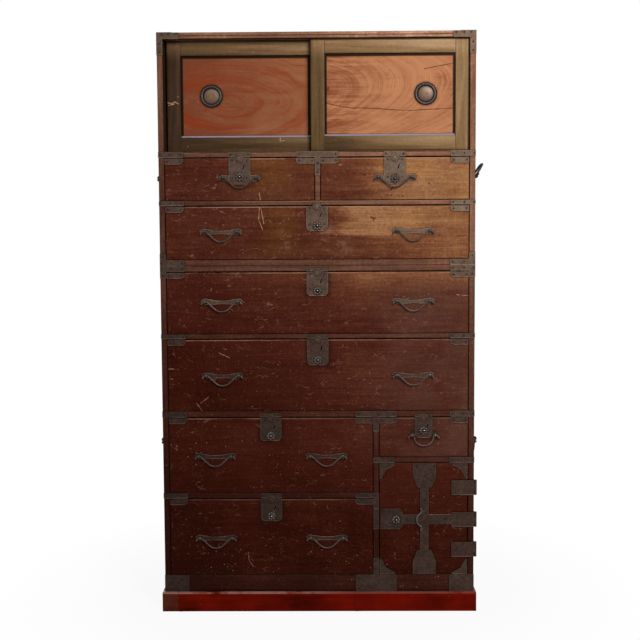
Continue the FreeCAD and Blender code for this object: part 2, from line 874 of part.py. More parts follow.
def make_drawer(drawer):
    name = drawer["name"]
    left = drawer["left"] + drawer_side_gap
    right = drawer["right"] - drawer_side_gap
    low = drawer["floor"] + drawer_run_gap
    top = drawer["top"] - drawer_top_gap
    y_board = front + drawer_front
    y_end = back_inner - drawer_back_gap
    side_low = low + drawer_bottom
    side_top = top - drawer_side_drop
    spacing, drop, bottom_half = handle_sizes[drawer["handle"]]
    lock = lock_place(drawer)
    holes = [moved_to(button_hole(0, drawer["button_rise"]), lock)]
    irons = [
        lock_plate(drawer["lock_width"], drawer["lock_height"], drawer["button_rise"]),
        rosette(0, drawer["button_rise"]),
        boss(drawer["lock_height"]),
    ] + lock_case(drawer["lock_height"])
    irons = [moved_to(piece, lock) for piece in irons]
    for corner_x, inward in ((left, 1), (right, -1)):
        irons.append(plate([
            (corner_x, top, 0),
            (corner_x + inward * drawer_corner_width, top, 0),
            (corner_x + inward * drawer_corner_width, top - drawer_corner_height, drawer_corner_round),
            (corner_x, top - drawer_corner_height, 0),
        ], front, drawer_iron))
    for label, x in drawer["bails"].items():
        place = drawer_place(drawer, x)
        plates = handle_backplates(drawer["handle"])
        for post_x in (-spacing, spacing):
            hole = shank_hole(post_x, shank_depth)
            holes.append(moved_to(hole, place))
            plates = [sheet.cut(hole) for sheet in plates]
            eye = eye_post(post_x, pivot_offset, eye_radius, wire_radius, shank_depth)
            irons.append(moved_to(eye, place))
        irons += [moved_to(sheet, place) for sheet in plates]
        bail = bail_solid(spacing, drop, bottom_half, stub_out, stub_down, wire_radius, pivot_offset)
        save(name + "_bail_" + label, [moved_to(bail, place)])
    front_board = box(left, right, front, y_board, drawer["floor"] + drawer_front_lift, top)
    save(name + "_boards", [
        front_board.cut(holes),
        box(left, right, y_board, y_end, low, side_low),
        box(left, left + drawer_side, y_board, y_end, side_low, side_top),
        box(right - drawer_side, right, y_board, y_end, side_low, side_top),
        box(left + drawer_side, right - drawer_side, y_end - drawer_back, y_end, side_low, side_top),
    ])
    save(name + "_irons", irons)
    save(name + "_button", [moved_to(push_button(0, drawer["button_rise"]), lock)])


# Sliding doors

def round_pull(x, z, face_y):
    """A turned metal pull: raised rim, groove and domed middle, let into the panel."""
    def point(radius, depth):
        return vector(x + radius, face_y + depth, z)

    rise = pull_dome_height + pull_groove_depth
    sweep = (pull_groove_radius ** 2 + rise ** 2) / (2 * rise)
    half_out = pull_groove_radius / 2
    half_depth = sweep - math.sqrt(sweep ** 2 - half_out ** 2) - pull_dome_height
    crown = point(0, -pull_dome_height)
    groove = point(pull_groove_radius, pull_groove_depth)
    foot = point(pull_radius, 0)
    dome = Part.Arc(crown, point(half_out, half_depth), groove).toShape()
    rim = Part.Arc(groove, point(pull_ridge_radius, -pull_ridge_height), foot).toShape()
    cup = Part.makePolygon([foot, point(pull_cup_radius, 0), point(pull_cup_radius, pull_cup_depth),
                            point(0, pull_cup_depth), crown])
    outline = Part.Wire([dome, rim] + cup.Edges)
    return Part.Face(outline).revolve(vector(x, face_y, z), vector(0, 1, 0), 360)


def make_sliding_door(name, x_low, y_low, pull_x):
    x_high = x_low + door_width
    y_high = y_low + door_thickness
    z_low = door_foot
    z_high = door_high + door_head_engage
    face_y = y_low + panel_recess
    panel = box(x_low + door_stile - panel_tongue, x_high - door_stile + panel_tongue,
                face_y, face_y + panel_thickness,
                z_low + door_rail - panel_tongue, z_high - door_rail + panel_tongue)
    slot = box(x_low + door_stile - panel_tongue - groove_play,
               x_high - door_stile + panel_tongue + groove_play,
               face_y - groove_play, face_y + panel_thickness + groove_play,
               z_low + door_rail - panel_tongue - groove_play,
               z_high - door_rail + panel_tongue + groove_play)
    inner_low = x_low + door_stile
    inner_high = x_high - door_stile
    frame = [
        box(x_low, inner_low, y_low, y_high, z_low, z_high),
        box(inner_high, x_high, y_low, y_high, z_low, z_high),
        box(inner_low, inner_high, y_low, y_high, z_low, z_low + door_rail),
        box(inner_low, inner_high, y_low, y_high, z_high - door_rail, z_high),
    ]
    save(name + "_frame", [member.cut(slot) for member in frame])
    hole = rod(pull_cup_radius + pin_play, vector(pull_x, face_y, pull_level),
               vector(pull_x, face_y + panel_thickness, pull_level))
    save(name + "_panel", [panel.cut(hole)])
    save(name + "_pull", [round_pull(pull_x, pull_level, face_y)])


def make_sliding_doors():
    right_y = front + door_setback
    left_y = right_y + door_thickness + 2 * door_play + track_rib
    make_sliding_door("left_door", left_door_edge, left_y, left_door_edge + left_pull_inset)
    make_sliding_door("right_door", right_door_edge - door_width, right_y,
                      right_door_edge - right_pull_inset)


# Cupboard door

def strip_on_door(x_low, x_high, z_low, z_high):
    return box(x_low, x_high, front - drawer_iron, front, z_low, z_high)


def safe_corner(x, z, inward_x, inward_z):
    """A corner iron with two legs and a cusped inner edge."""
    corners = [
        (0, 0, 0), (safe_corner_leg, 0, 0), (safe_corner_leg, safe_corner_tip, 0),
        (safe_corner_cusp, safe_corner_cusp, safe_corner_tip),
        (safe_corner_tip, safe_corner_leg, 0), (0, safe_corner_leg, 0),
    ]
    return plate([(x + inward_x * u, z + inward_z * w, radius) for u, w, radius in corners],
                 front, drawer_iron)


def goblet(edge_z, toward):
    """One flared end of the upright strap, drawn from the door's edge toward its middle."""
    half_path = [
        (goblet_width / 2, 0, 0),
        (goblet_width / 2, goblet_side, goblet_side),
        (goblet_foot_width / 2, goblet_length, 0),
        (strap_neck / 2, goblet_length, 0),
    ]
    both = mirrored_corners(half_path)
    return plate([(strap_centre + x, edge_z + toward * z, radius) for x, z, radius in both],
                 front, drawer_iron)


def safe_hinge_strap(level):
    """The strap on the door, and its middle knuckle."""
    x, y = hinge_axis()
    low = level - hinge_height / 2
    high = level + hinge_height / 2
    half_middle = hinge_height * hinge_middle_share / 2 - hinge_barrel_gap
    strap = box(hinge_strap_end, half_width, front - hinge_strap, front, low, high)
    tongue = box(half_width, x, front - hinge_strap, front, level - half_middle, level + half_middle)
    knuckle = rod(hinge_barrel_radius, vector(x, y, level - half_middle),
                  vector(x, y, level + half_middle))
    bore = rod(hinge_pin_radius + pin_play, vector(x, y, low), vector(x, y, high))
    return join([strap, tongue, knuckle]).cut(bore)


def ring_turned(shape):
    """Turn a handle drawn level into the upright ring pull's place on the door."""
    upright = turned(shape, vector(0, 1, 0), 90, vector(0, 0, 0))
    return moved_to(upright, vector(ring_x, front, band_level))


def make_safe_door():
    ring_ends = (-ring_half_spacing, ring_half_spacing)
    ring_eyes = [eye_post(x, ring_pivot_offset, eye_radius, wire_radius, shank_depth)
                 for x in ring_ends]
    ring_holes = [ring_turned(shank_hole(x, shank_depth)) for x in ring_ends]
    button = moved_to(button_hole(safe_button_x, safe_button_z), vector(0, front, 0))
    board = box(safe_left, safe_right, front, front + safe_thickness, safe_low, safe_high)
    save("safe_door_board", [board.cut(ring_holes + [button])])
    band_low = band_level - strap_band / 2
    band_high = band_level + strap_band / 2
    neck = strip_on_door(strap_centre - strap_neck / 2, strap_centre + strap_neck / 2,
                         safe_low + goblet_length, safe_high - goblet_length)
    cross = join([neck, goblet(safe_low, 1), goblet(safe_high, -1),
                  strip_on_door(safe_lock_right, hinge_strap_end, band_low, band_high)])
    sheet = plate([
        (safe_lock_left, safe_lock_low, 0),
        (safe_lock_right, safe_lock_low, lock_round),
        (safe_lock_right, safe_lock_high, lock_round),
        (safe_lock_left, safe_lock_high, 0),
    ], front, drawer_iron)
    slot = moved_to(keyhole(safe_keyhole_x, safe_keyhole_z, 90), vector(0, front, 0))
    case_middle = (safe_lock_left + safe_lock_right) / 2
    rear = front + safe_thickness
    pieces = [
        cross.cut(ring_holes),
        sheet.cut(slot).cut(button),
        moved_to(rosette(safe_button_x, safe_button_z), vector(0, front, 0)),
        box(case_middle - lock_case_height / 2, case_middle + lock_case_height / 2,
            rear, rear + lock_case_depth,
            safe_button_z - lock_case_width / 2, safe_button_z + lock_case_width / 2),
        safe_corner(safe_left, safe_low, 1, 1),
        safe_corner(safe_left, safe_high, 1, -1),
        safe_corner(safe_right, safe_low, -1, 1),
        safe_corner(safe_right, safe_high, -1, -1),
    ]
    pieces += [ring_turned(eye) for eye in ring_eyes]
    pieces += [safe_hinge_strap(level) for level in hinge_levels]
    save("safe_door_irons", pieces)
    save("safe_door_button", [moved_to(push_button(safe_button_x, safe_button_z), vector(0, front, 0))])
    ring = bail_solid(ring_half_spacing, ring_drop, ring_bottom_half, ring_stub_out, ring_stub_down,
                      wire_radius, ring_pivot_offset)
    save("safe_door_ring", [ring_turned(ring)])


os.makedirs("parts", exist_ok=True)
make_plinth()
make_lower_case()
make_upper_case()
make_lower_irons()
make_upper_irons()
for drawer in drawers:
    make_drawer(drawer)
make_sliding_doors()
make_safe_door()
for side, label in ((-1, "left"), (1, "right")):
    save("lower_" + label + "_carrying_bail", [side_bail(side, lower_side_level, False)])
    save("upper_" + label + "_carrying_bail", [side_bail(side, upper_side_level, side > 0)])
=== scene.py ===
# %% [markdown]
# # A two-case clothing chest
# The chest is two lacquered cases on a low red plinth: eight drawers, one cupboard door
# and two sliding doors, all held together with forged iron. Its shapes come from the CAD
# model, loaded here as a frame that never moves. This file gives each board, plate and
# handle the finish of the real one, and adds what is too small for the model: nails,
# petals, rings and eased edges.

# %% Load the chest
import json
import math

import bmesh
import bpy
from mathutils import Matrix, Vector


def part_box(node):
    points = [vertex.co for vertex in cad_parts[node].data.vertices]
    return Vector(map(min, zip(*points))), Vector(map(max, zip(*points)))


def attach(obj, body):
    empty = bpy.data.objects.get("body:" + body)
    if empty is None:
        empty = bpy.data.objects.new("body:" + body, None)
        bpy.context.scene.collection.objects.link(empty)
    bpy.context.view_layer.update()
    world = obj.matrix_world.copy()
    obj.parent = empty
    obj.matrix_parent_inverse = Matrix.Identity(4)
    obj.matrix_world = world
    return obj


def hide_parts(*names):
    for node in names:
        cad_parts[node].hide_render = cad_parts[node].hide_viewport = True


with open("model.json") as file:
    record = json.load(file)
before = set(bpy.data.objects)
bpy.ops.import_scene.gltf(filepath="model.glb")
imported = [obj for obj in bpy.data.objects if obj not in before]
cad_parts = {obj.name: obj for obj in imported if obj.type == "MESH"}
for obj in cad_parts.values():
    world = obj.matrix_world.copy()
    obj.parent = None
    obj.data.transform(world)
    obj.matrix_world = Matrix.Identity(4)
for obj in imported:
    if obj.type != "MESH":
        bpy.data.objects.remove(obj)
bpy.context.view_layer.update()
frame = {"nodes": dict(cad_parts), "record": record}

nodes = frame["nodes"]

# %% [markdown]
# ## The camera
# The picture of the chest was taken standing up, a little over three metres away and
# a hand's breadth right of its middle. Lines that are upright on the chest stay nearly
# upright in it, so the camera hardly looks down. A camera could be aimed with a Track To
# constraint, but three small angles say the same and leave nothing live in the file.

# %% Place the camera
camera_place = Vector((0.03902, -3.210, 1.10875))
pitch, yaw, roll = (math.radians(a) for a in (3.9962, -0.60784, -0.31773))
ahead = Vector((math.sin(yaw) * math.cos(pitch), math.cos(yaw) * math.cos(pitch), -math.sin(pitch)))
level_right = Vector((math.cos(yaw), -math.sin(yaw), 0))
right = math.cos(roll) * level_right + math.sin(roll) * level_right.cross(ahead)
turn = Matrix((right, right.cross(ahead), -ahead)).transposed().to_4x4()
lens = bpy.data.cameras.new("camera")
lens.lens, lens.sensor_width = 55.87, 36.0
camera = bpy.data.objects.new("camera", lens)
camera.matrix_world = Matrix.Translation(camera_place) @ turn
bpy.context.collection.objects.link(camera)
bpy.context.scene.camera = camera
print("camera aims along", [round(v, 3) for v in ahead])

# %% [markdown]
# ## Recipes for finishes
# Every finish here is a material made of nodes, and nodes set the nails too. Three small
# classes keep the trees readable. A Value is what a socket gives, and can be reckoned
# with like a number: each sign adds one Math node. A Tree adds nodes and hands back the
# value that comes out. A Recipe is the tree of a material. Its patterns are placed with
# Object coordinates, which are metres on this chest, because each piece's object sits at
# the origin: a number in a recipe is then a real place or a real size.

# %% Values, trees and recipes
def paint(red, green, blue):
    """A colour as a paint chart gives it, 0 to 255, for Blender's linear sockets."""
    linear = [c / 255 / 12.92 if c < 10.3 else ((c / 255 + 0.055) / 1.055) ** 2.4
              for c in (red, green, blue)]
    return (*linear, 1.0)


class Value:
    """a | b is the larger of two values, a & b the smaller, and a < b is 1 where it holds."""
    def __init__(self, owner, socket):
        self.owner, self.socket = owner, socket

    def between(self, low, high, smooth=True):
        """0 at low, 1 at high, and a step between them. Low may be the greater number."""
        return self.owner.out("ShaderNodeMapRange", [self, low, high, 0.0, 1.0],
                              interpolation_type="SMOOTHSTEP" if smooth else "LINEAR")

    def __abs__(self):
        return self.owner.math("ABSOLUTE", self)

    def __add__(self, other):
        return self.owner.math("ADD", self, other)

    def __sub__(self, other):
        return self.owner.math("SUBTRACT", self, other)

    def __rsub__(self, other):
        return self.owner.math("SUBTRACT", other, self)

    def __mul__(self, other):
        return self.owner.math("MULTIPLY", self, other)

    def __truediv__(self, other):
        return self.owner.math("DIVIDE", self, other)

    def __lt__(self, other):
        return self.owner.math("LESS_THAN", self, other)

    def __or__(self, other):
        return self.owner.math("MAXIMUM", self, other)

    def __and__(self, other):
        return self.owner.math("MINIMUM", self, other)


class Tree:
    """The nodes of one material, of one set of nails or petals, or of the world."""
    def __init__(self, tree):
        self.tree = tree

    def add(self, kind, values=(), **settings):
        """values: a list, in the order of the node's inputs, or a dict by their names."""
        node = self.tree.nodes.new(kind)
        for key, value in settings.items():
            setattr(node, key, value)
        for key, value in values.items() if isinstance(values, dict) else enumerate(values):
            self.join(node.inputs[key], value)
        return node

    def join(self, socket, value):
        if isinstance(value, Value):
            self.tree.links.new(value.socket, socket)
        elif value is not None:
            socket.default_value = value

    def out(self, kind, values=(), output=0, **settings):
        return Value(self, self.add(kind, values, **settings).outputs[output])

    def math(self, operation, *values):
        return self.out("ShaderNodeMath", values, operation=operation)

    def vector(self, operation, *values):
        return self.out("ShaderNodeVectorMath", values, operation=operation)

    def measure(self, operation, *values):
        """A number got from vectors, such as a length or a distance."""
        return self.out("ShaderNodeVectorMath", values, "Value", operation=operation)

    def point(self, x, y, z):
        return self.out("ShaderNodeCombineXYZ", [x, y, z])

    def split(self, source):
        return [Value(self, part) for part in self.add("ShaderNodeSeparateXYZ", [source]).outputs]


class Recipe(Tree):
    def __init__(self, name, gloss, metallic=0.0, tint=(255, 255, 255)):
        self.material = bpy.data.materials.new(name)
        self.material.use_nodes = True
        super().__init__(self.material.node_tree)
        self.shader = self.tree.nodes["Principled BSDF"]
        self.shader.inputs["Metallic"].default_value = metallic
        self.shader.inputs["Specular IOR Level"].default_value = gloss
        self.shader.inputs["Specular Tint"].default_value = paint(*tint)
        coordinates = self.add("ShaderNodeTexCoord").outputs
        self.place, self.look = (Value(self, coordinates[key]) for key in ("Object", "Normal"))
        self.x, self.y, self.z = self.split(self.place)

    def stretch(self, x, y, z, shift=(0, 0, 0)):
        return self.out("ShaderNodeMapping", [self.place, shift, (0, 0, 0), (x, y, z)])

    def noise(self, where, scale, detail=3.0, rough=0.5, twist=0.0):
        finer = 2.0
        return self.out("ShaderNodeTexNoise",
                        [where, None, scale, detail, rough, finer, None, None, twist])

    def ramp(self, value, stops):
        """stops: (place, colour) pairs, a colour being 0 to 255 or one grey number 0 to 1."""
        node = self.add("ShaderNodeValToRGB", [value])
        elements = node.color_ramp.elements
        while len(elements) < len(stops):
            elements.new(1.0)
        for element, (place, colour) in zip(elements, stops):
            painted = isinstance(colour, tuple)
            element.position = place
            element.color = paint(*colour) if painted else (colour, colour, colour, 1)
        return Value(self, node.outputs[0])

    def mix(self, share, first, second):
        node = self.add("ShaderNodeMix", data_type="RGBA")
        self.join(node.inputs[0], share)
        for index, colour in ((6, first), (7, second)):
            self.join(node.inputs[index], paint(*colour) if isinstance(colour, tuple) else colour)
        return Value(self, node.outputs[2])

    def finish(self, colour, roughness, height=None, depth=0.001, strength=0.5):
        self.join(self.shader.inputs["Base Color"], colour)
        self.join(self.shader.inputs["Roughness"], roughness)
        if height is not None:
            bump = {"Strength": strength, "Distance": depth, "Height": height}
            self.join(self.shader.inputs["Normal"], self.out("ShaderNodeBump", bump))
        return self.material

# %% [markdown]
# ## Lacquer that age has worn
# The fronts wear a dark red lacquer, nearly black low on the left, where hands never
# reach, and worn to a warm brown high on the right. Part of that is painted light: the
# falloff of the light from high on the right, and the shade low on the left, are painted
# into the colour as well. A painter would call that the tone of each place. The recipe
# keeps it as a table: at a height, the tone at the left end and at the right end of a
# board. Grain, blotches and scratches then nudge the tone up or down, and one ramp turns
# it into colour.

# %% Tone, grain, flecks and scratches
def tone_field(recipe, table, left=-0.45, right=0.45, wander=0.3):
    """table: (height, tone at the left end, tone at the right end)."""
    full_height = 1.8
    height = recipe.z / full_height
    at_left, at_right = (recipe.ramp(height, [(row[0] / full_height, row[end]) for row in table])
                         for end in (1, 2))
    drift = (recipe.noise(recipe.place, 3.0) - 0.5) * wander
    return recipe.mix((recipe.x + drift).between(left, right, smooth=False), at_left, at_right)


def nudge(tone, pattern, amount):
    """Adds a pattern, grey 0.5 meaning no change, to a tone."""
    return tone + (pattern - 0.5) * amount


def flecks(recipe, scale, size, share, seed=0.0):
    """Round chips in the lacquer: share of the cells that have one, size in metres."""
    shifted = recipe.stretch(1, 1, 1, (seed, seed * 0.7, seed * 1.3))
    cells = recipe.add("ShaderNodeTexVoronoi", [shifted, None, scale])
    pick, width = recipe.split(Value(recipe, cells.outputs["Color"]))[:2]
    inside = Value(recipe, cells.outputs["Distance"]) < width * (size * scale)
    return inside * (pick < share)


def hairlines(recipe, where, scale, width, share):
    """Thin wandering scratches: where a smooth noise passes its middle value."""
    lines = abs(recipe.noise(where, scale, 2.0, 0.4) - 0.5) < width
    return lines * recipe.noise(where, scale * 1.7, 2.0).between(1 - share, 1.02 - share)


def marks(recipe, strokes, width, wander=0.003):
    """1 near any of the strokes, each ((x, z), (x, z)) in metres on the front."""
    flat = recipe.point(recipe.x, 0.0, recipe.z)
    nearest = None
    for (x0, z0), (x1, z1) in strokes:
        run = Vector((x1 - x0, 0, z1 - z0))
        from_start = recipe.vector("SUBTRACT", flat, (x0, 0, z0))
        along = recipe.measure("DOT_PRODUCT", from_start, tuple(run / run.length_squared))
        foot = recipe.vector("SCALE", tuple(run), None, None, (along & 1.0) | 0.0)
        gap = recipe.measure("DISTANCE", from_start, foot)
        nearest = gap if nearest is None else nearest & gap
    return nudge(nearest, recipe.noise(recipe.place, 90.0, 2.0), wander) < width


def edge_shares(recipe, scale=60.0):
    """The eased edges: those that look up, pale in places, partly wear and partly a painted
    highlight, and the others, painted dark as shade on wood and a little paler on iron.
    """
    edge = recipe.out("ShaderNodeAttribute", output="Fac", attribute_name="edge")
    upward = recipe.split(recipe.look)[2].between(0.1, 0.4)
    broken = recipe.noise(recipe.place, scale, 3.0, 0.6).between(0.32, 0.6)
    return edge * upward * broken, edge * (1.0 - upward)


def corner_shade(recipe, reach=0.006):
    """Painted shade: 0 in the open, up to 1 in corners and next to raised parts, from an ambient
    occlusion node.
    """
    open_air = recipe.out("ShaderNodeAmbientOcclusion", [None, reach], "AO", samples=8)
    return open_air.between(0.99, 0.86)

# %% [markdown]
# ## The front lacquer
# On a drawer front the grain runs from side to side, so its noise is stretched along X.
# Chips show the pale tan ground under the lacquer and lie thick on the low drawers.
# A few scratches are so plain on the real chest that they are drawn one by one.

# %% Lacquer colours and tones
LACQUER = [(0.0, (38, 12, 6)), (0.12, (50, 18, 11)), (0.3, (61, 25, 17)), (0.45, (75, 37, 26)),
           (0.6, (92, 53, 35)), (0.75, (114, 71, 46)), (0.88, (134, 92, 62)), (1.0, (152, 110, 76))]
AMBER = [(0.0, (44, 18, 6)), (0.3, (64, 31, 14)), (0.6, (98, 60, 30)), (1.0, (164, 116, 70))]
CASE = [(0.0, (38, 16, 12)), (0.15, (48, 22, 16)), (0.35, (64, 34, 26)), (0.5, (80, 50, 39)),
        (0.65, (98, 66, 52)), (0.8, (122, 84, 64)), (0.9, (142, 102, 80)), (1.0, (186, 142, 114))]
# Painted light, in part: both tone tables climb from low left to high right with the falloff of the
# light, on top of the lacquer's own wear.
FRONT_TONES = [(0.1, -0.02, 0.12), (0.23, 0.02, 0.16), (0.46, 0.14, 0.32), (0.51, 0.12, 0.48),
               (0.62, 0.1, 0.5), (0.8, 0.14, 0.5), (0.9, 0.23, 0.52), (1.0, 0.28, 0.6),
               (1.045, 0.3, 0.68), (1.1, 0.36, 0.6), (1.24, 0.4, 0.6), (1.4, 0.4, 0.6)]
CASE_TONES = [(0.06, 0.0, 0.2), (0.3, 0.06, 0.28), (0.6, 0.2, 0.42), (0.85, 0.36, 0.54),
              (1.05, 0.48, 0.68), (1.25, 0.42, 0.82), (1.42, 0.6, 0.8), (1.6, 0.72, 0.72),
              (1.74, 0.72, 0.9), (1.755, 0.84, 1.0)]
SCRATCHES = [((-0.3711, 0.6472), (-0.3478, 0.6155)), ((-0.334, 0.6655), (-0.3574, 0.6472)),
             ((-0.1731, 1.239), (-0.1756, 1.2022)), ((-0.1756, 1.2022), (-0.1638, 1.1719)),
             ((-0.1683, 1.236), (-0.1603, 1.1896)), ((-0.1727, 1.2823), (-0.1696, 1.2584)),
             ((-0.218, 0.1838), (-0.2149, 0.1556)), ((-0.2149, 0.1556), (-0.2012, 0.1376)),
             ((0.4211, 0.974), (0.4543, 0.9705)), ((-0.4532, 0.7519), (-0.4388, 0.7518)),
             ((-0.4506, 0.7213), (-0.4423, 0.7212)), ((-0.3002, 0.8001), (-0.2669, 0.7847))]
NICKS = [((0.335, 1.308), (0.337, 1.309)), ((0.143, 1.335), (0.146, 1.334)),
         ((0.163, 1.208), (0.174, 1.205)), ((0.170, 1.203), (0.169, 1.198)),
         ((0.222, 1.290), (0.227, 1.296)), ((0.263, 1.333), (0.265, 1.333))]
SEAM = [((0.03, 1.1515), (0.45, 1.1505))]
# Each lock plate as its middle across, its foot and its top.
LOCKS = [(-0.2316, 1.308, 1.386), (0.2339, 1.308, 1.386), (0.0, 1.168, 1.242),
         (0.0, 0.9725, 1.044), (0.0, 0.762, 0.840), (-0.14475, 0.530, 0.600),
         (-0.14475, 0.281, 0.349), (0.32125, 0.538, 0.600)]
KEYHOLES = [((x + 0.0095, top - 0.031), (x + 0.0125, top - 0.023)) for x, low, top in LOCKS]
KEYHOLES.append(((0.213, 0.2735), (0.223, 0.2735)))
GRAIN_ALONG = {"across": (3.0, 30.0, 60.0), "upright": (60.0, 30.0, 3.0), "deep": (60.0, 3.0, 60.0)}

# %% The pale patch: faded lacquer and a painted reflection
# Four ramps over the height from 1.05 to 1.4 m: where the patch starts from the left, how
# soft its start is, and how much paler it is near its start and far from it, partly worn
# off and partly a painted reflection of the light.
PATCH_START = [(0.0, 0.5), (0.08, 0.24), (0.27, 0.2), (0.31, 0.07), (0.56, 0.07), (0.6, 0.16)]
PATCH_SOFT = [(0.0, 0.08), (0.3, 0.08), (0.31, 0.045), (0.56, 0.045), (0.6, 0.13)]
PATCH_NEAR = [(0.0, 0.0), (0.08, 0.16), (0.27, 0.2), (0.31, 0.36), (0.56, 0.36), (0.6, 0.3)]
PATCH_FAR = [(0.0, 0.0), (0.08, 0.12), (0.27, 0.14), (0.31, 0.2), (0.56, 0.2), (0.6, 0.31)]


def faded_and_lit(recipe):
    """High on the right the lacquer is paler, partly worn through and partly a painted reflection
    of the light: how much, at each place.
    """
    height = recipe.z.between(1.05, 1.4, smooth=False)
    start, soft, near, far = (recipe.ramp(height, stops) for stops in
                              (PATCH_START, PATCH_SOFT, PATCH_NEAR, PATCH_FAR))
    ragged = (recipe.noise(recipe.stretch(3, 3, 16), 2.0, 5.0, 0.65) - 0.5) * 0.3 + recipe.x
    inside = (ragged - start).between(soft * -1.0, soft)
    strong = recipe.mix(recipe.x.between(0.22, 0.4), near, far)
    strip = recipe.z.between(0.975, 1.03) * recipe.z.between(1.06, 1.05)
    return strip * ragged.between(-0.02, 0.18) * 0.2 + inside * strong

# %% Front and case lacquer
FRONT_TOPS = sorted({round(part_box(name)[1].z, 4) for name in nodes
                     if name.endswith("_boards") and "drawer" in name})
CASE_TOPS = [1.4033, 1.2588]
print("worn top edges at", FRONT_TOPS)


def worn_and_lit_lines(recipe, tops):
    """The top edge of a front is pale in places, just under the gap: partly worn, partly a
    painted highlight where the edge meets the light from above. The lowest line ends where
    the cupboard door begins."""
    cupboard_top, cupboard_left = 0.4, 0.17
    line = None
    for top in tops:
        here = abs(recipe.z - (top - 0.0022)) < 0.0012
        if top < cupboard_top:
            here = here * (recipe.x < cupboard_left)
        line = here if line is None else line | here
    return line * recipe.noise(recipe.stretch(5, 5, 30), 1.0, 3.0, 0.7).between(0.38, 0.58)


def dark_halo_round_locks(recipe):
    """A dark halo round the lower lock plates."""
    patch_above, half_lock = 1.1, 0.0325
    nearest = None
    for x, low, top in LOCKS:
        if top < patch_above:
            above = abs(recipe.z - (low + top) / 2) - (top - low) / 2
            away = abs(recipe.x - x) - half_lock | above
            nearest = away if nearest is None else nearest & away
    return (recipe.noise(recipe.place, 40.0, 3.0, 0.6) * 0.012 + nearest).between(0.022, 0.003)


def front_stains(recipe, colour, tone, blotch, patch):
    """What only the fronts have: honey and plum patches, haze, holes, nicks and a seam."""
    colour = recipe.mix(dark_halo_round_locks(recipe) * 0.6, colour, (26, 12, 9))
    honey = recipe.noise(recipe.stretch(1, 1, 1, (4.0, 0, 2.0)), 4.5, 3.0, 0.6).between(0.48, 0.68)
    honey = honey * (recipe.z.between(1.0, 1.15) * 0.6 + 0.12)
    colour = recipe.mix(honey, colour, recipe.ramp(tone, AMBER))
    plum = recipe.x.between(0.08, 0.38) * recipe.z.between(1.08, 0.98)
    plum = plum * recipe.z.between(0.44, 0.48) * blotch.between(0.25, 0.6)
    colour = recipe.mix(plum * 0.5, colour, (76, 52, 46))
    under_lock = recipe.point(recipe.x + 0.01, 0.0, (recipe.z - 1.13) * 1.6)
    haze = recipe.noise(recipe.stretch(14, 14, 24), 1.0, 6.0, 0.72, 0.9).between(0.5, 0.66)
    haze = haze * recipe.measure("LENGTH", under_lock).between(0.16, 0.05)
    colour = recipe.mix(haze * 0.4, colour, (140, 108, 92))
    crowded = recipe.noise(recipe.place, 12.0, 3.0, 0.6, 0.3).between(0.42, 0.55) * 0.85 + 0.15
    holes = flecks(recipe, 90, 0.0038, 0.16, 6.0) | flecks(recipe, 150, 0.0026, 0.3, 9.0)
    holes = holes * crowded * patch.between(0.08, 0.2)
    dark = marks(recipe, SEAM, 0.0012, 0.001) * 0.5 | marks(recipe, NICKS, 0.0024, 0.004)
    return recipe.mix((dark | holes * 0.7) * 0.75, colour, (44, 22, 12))


def chipped(recipe, wear):
    """Chips, specks and hairlines, thickest low down and at the cupboard's lower left."""
    crowd = recipe.noise(recipe.place, 5.0, 3.0, 0.6).between(0.42, 0.6)
    corner = recipe.x.between(0.34, 0.2) * recipe.z.between(0.3, 0.12)
    corner = corner * recipe.x.between(0.15, 0.19)
    thick = (recipe.z.between(1.2, 0.3) | 0.22) * crowd | corner
    chips = flecks(recipe, 120, 0.0021, 0.13 * wear) * (thick | 0.2)
    specks = flecks(recipe, 240, 0.0016, 0.34 * wear, 3.1) * thick
    level = hairlines(recipe, recipe.stretch(1, 1, 2.2), 21.0, 0.009, 0.42 * wear)
    steep = hairlines(recipe, recipe.stretch(2.2, 1, 1, (5.0, 0, 1.0)), 27.0, 0.008, 0.36 * wear)
    return chips | specks | (level | steep) * 0.34


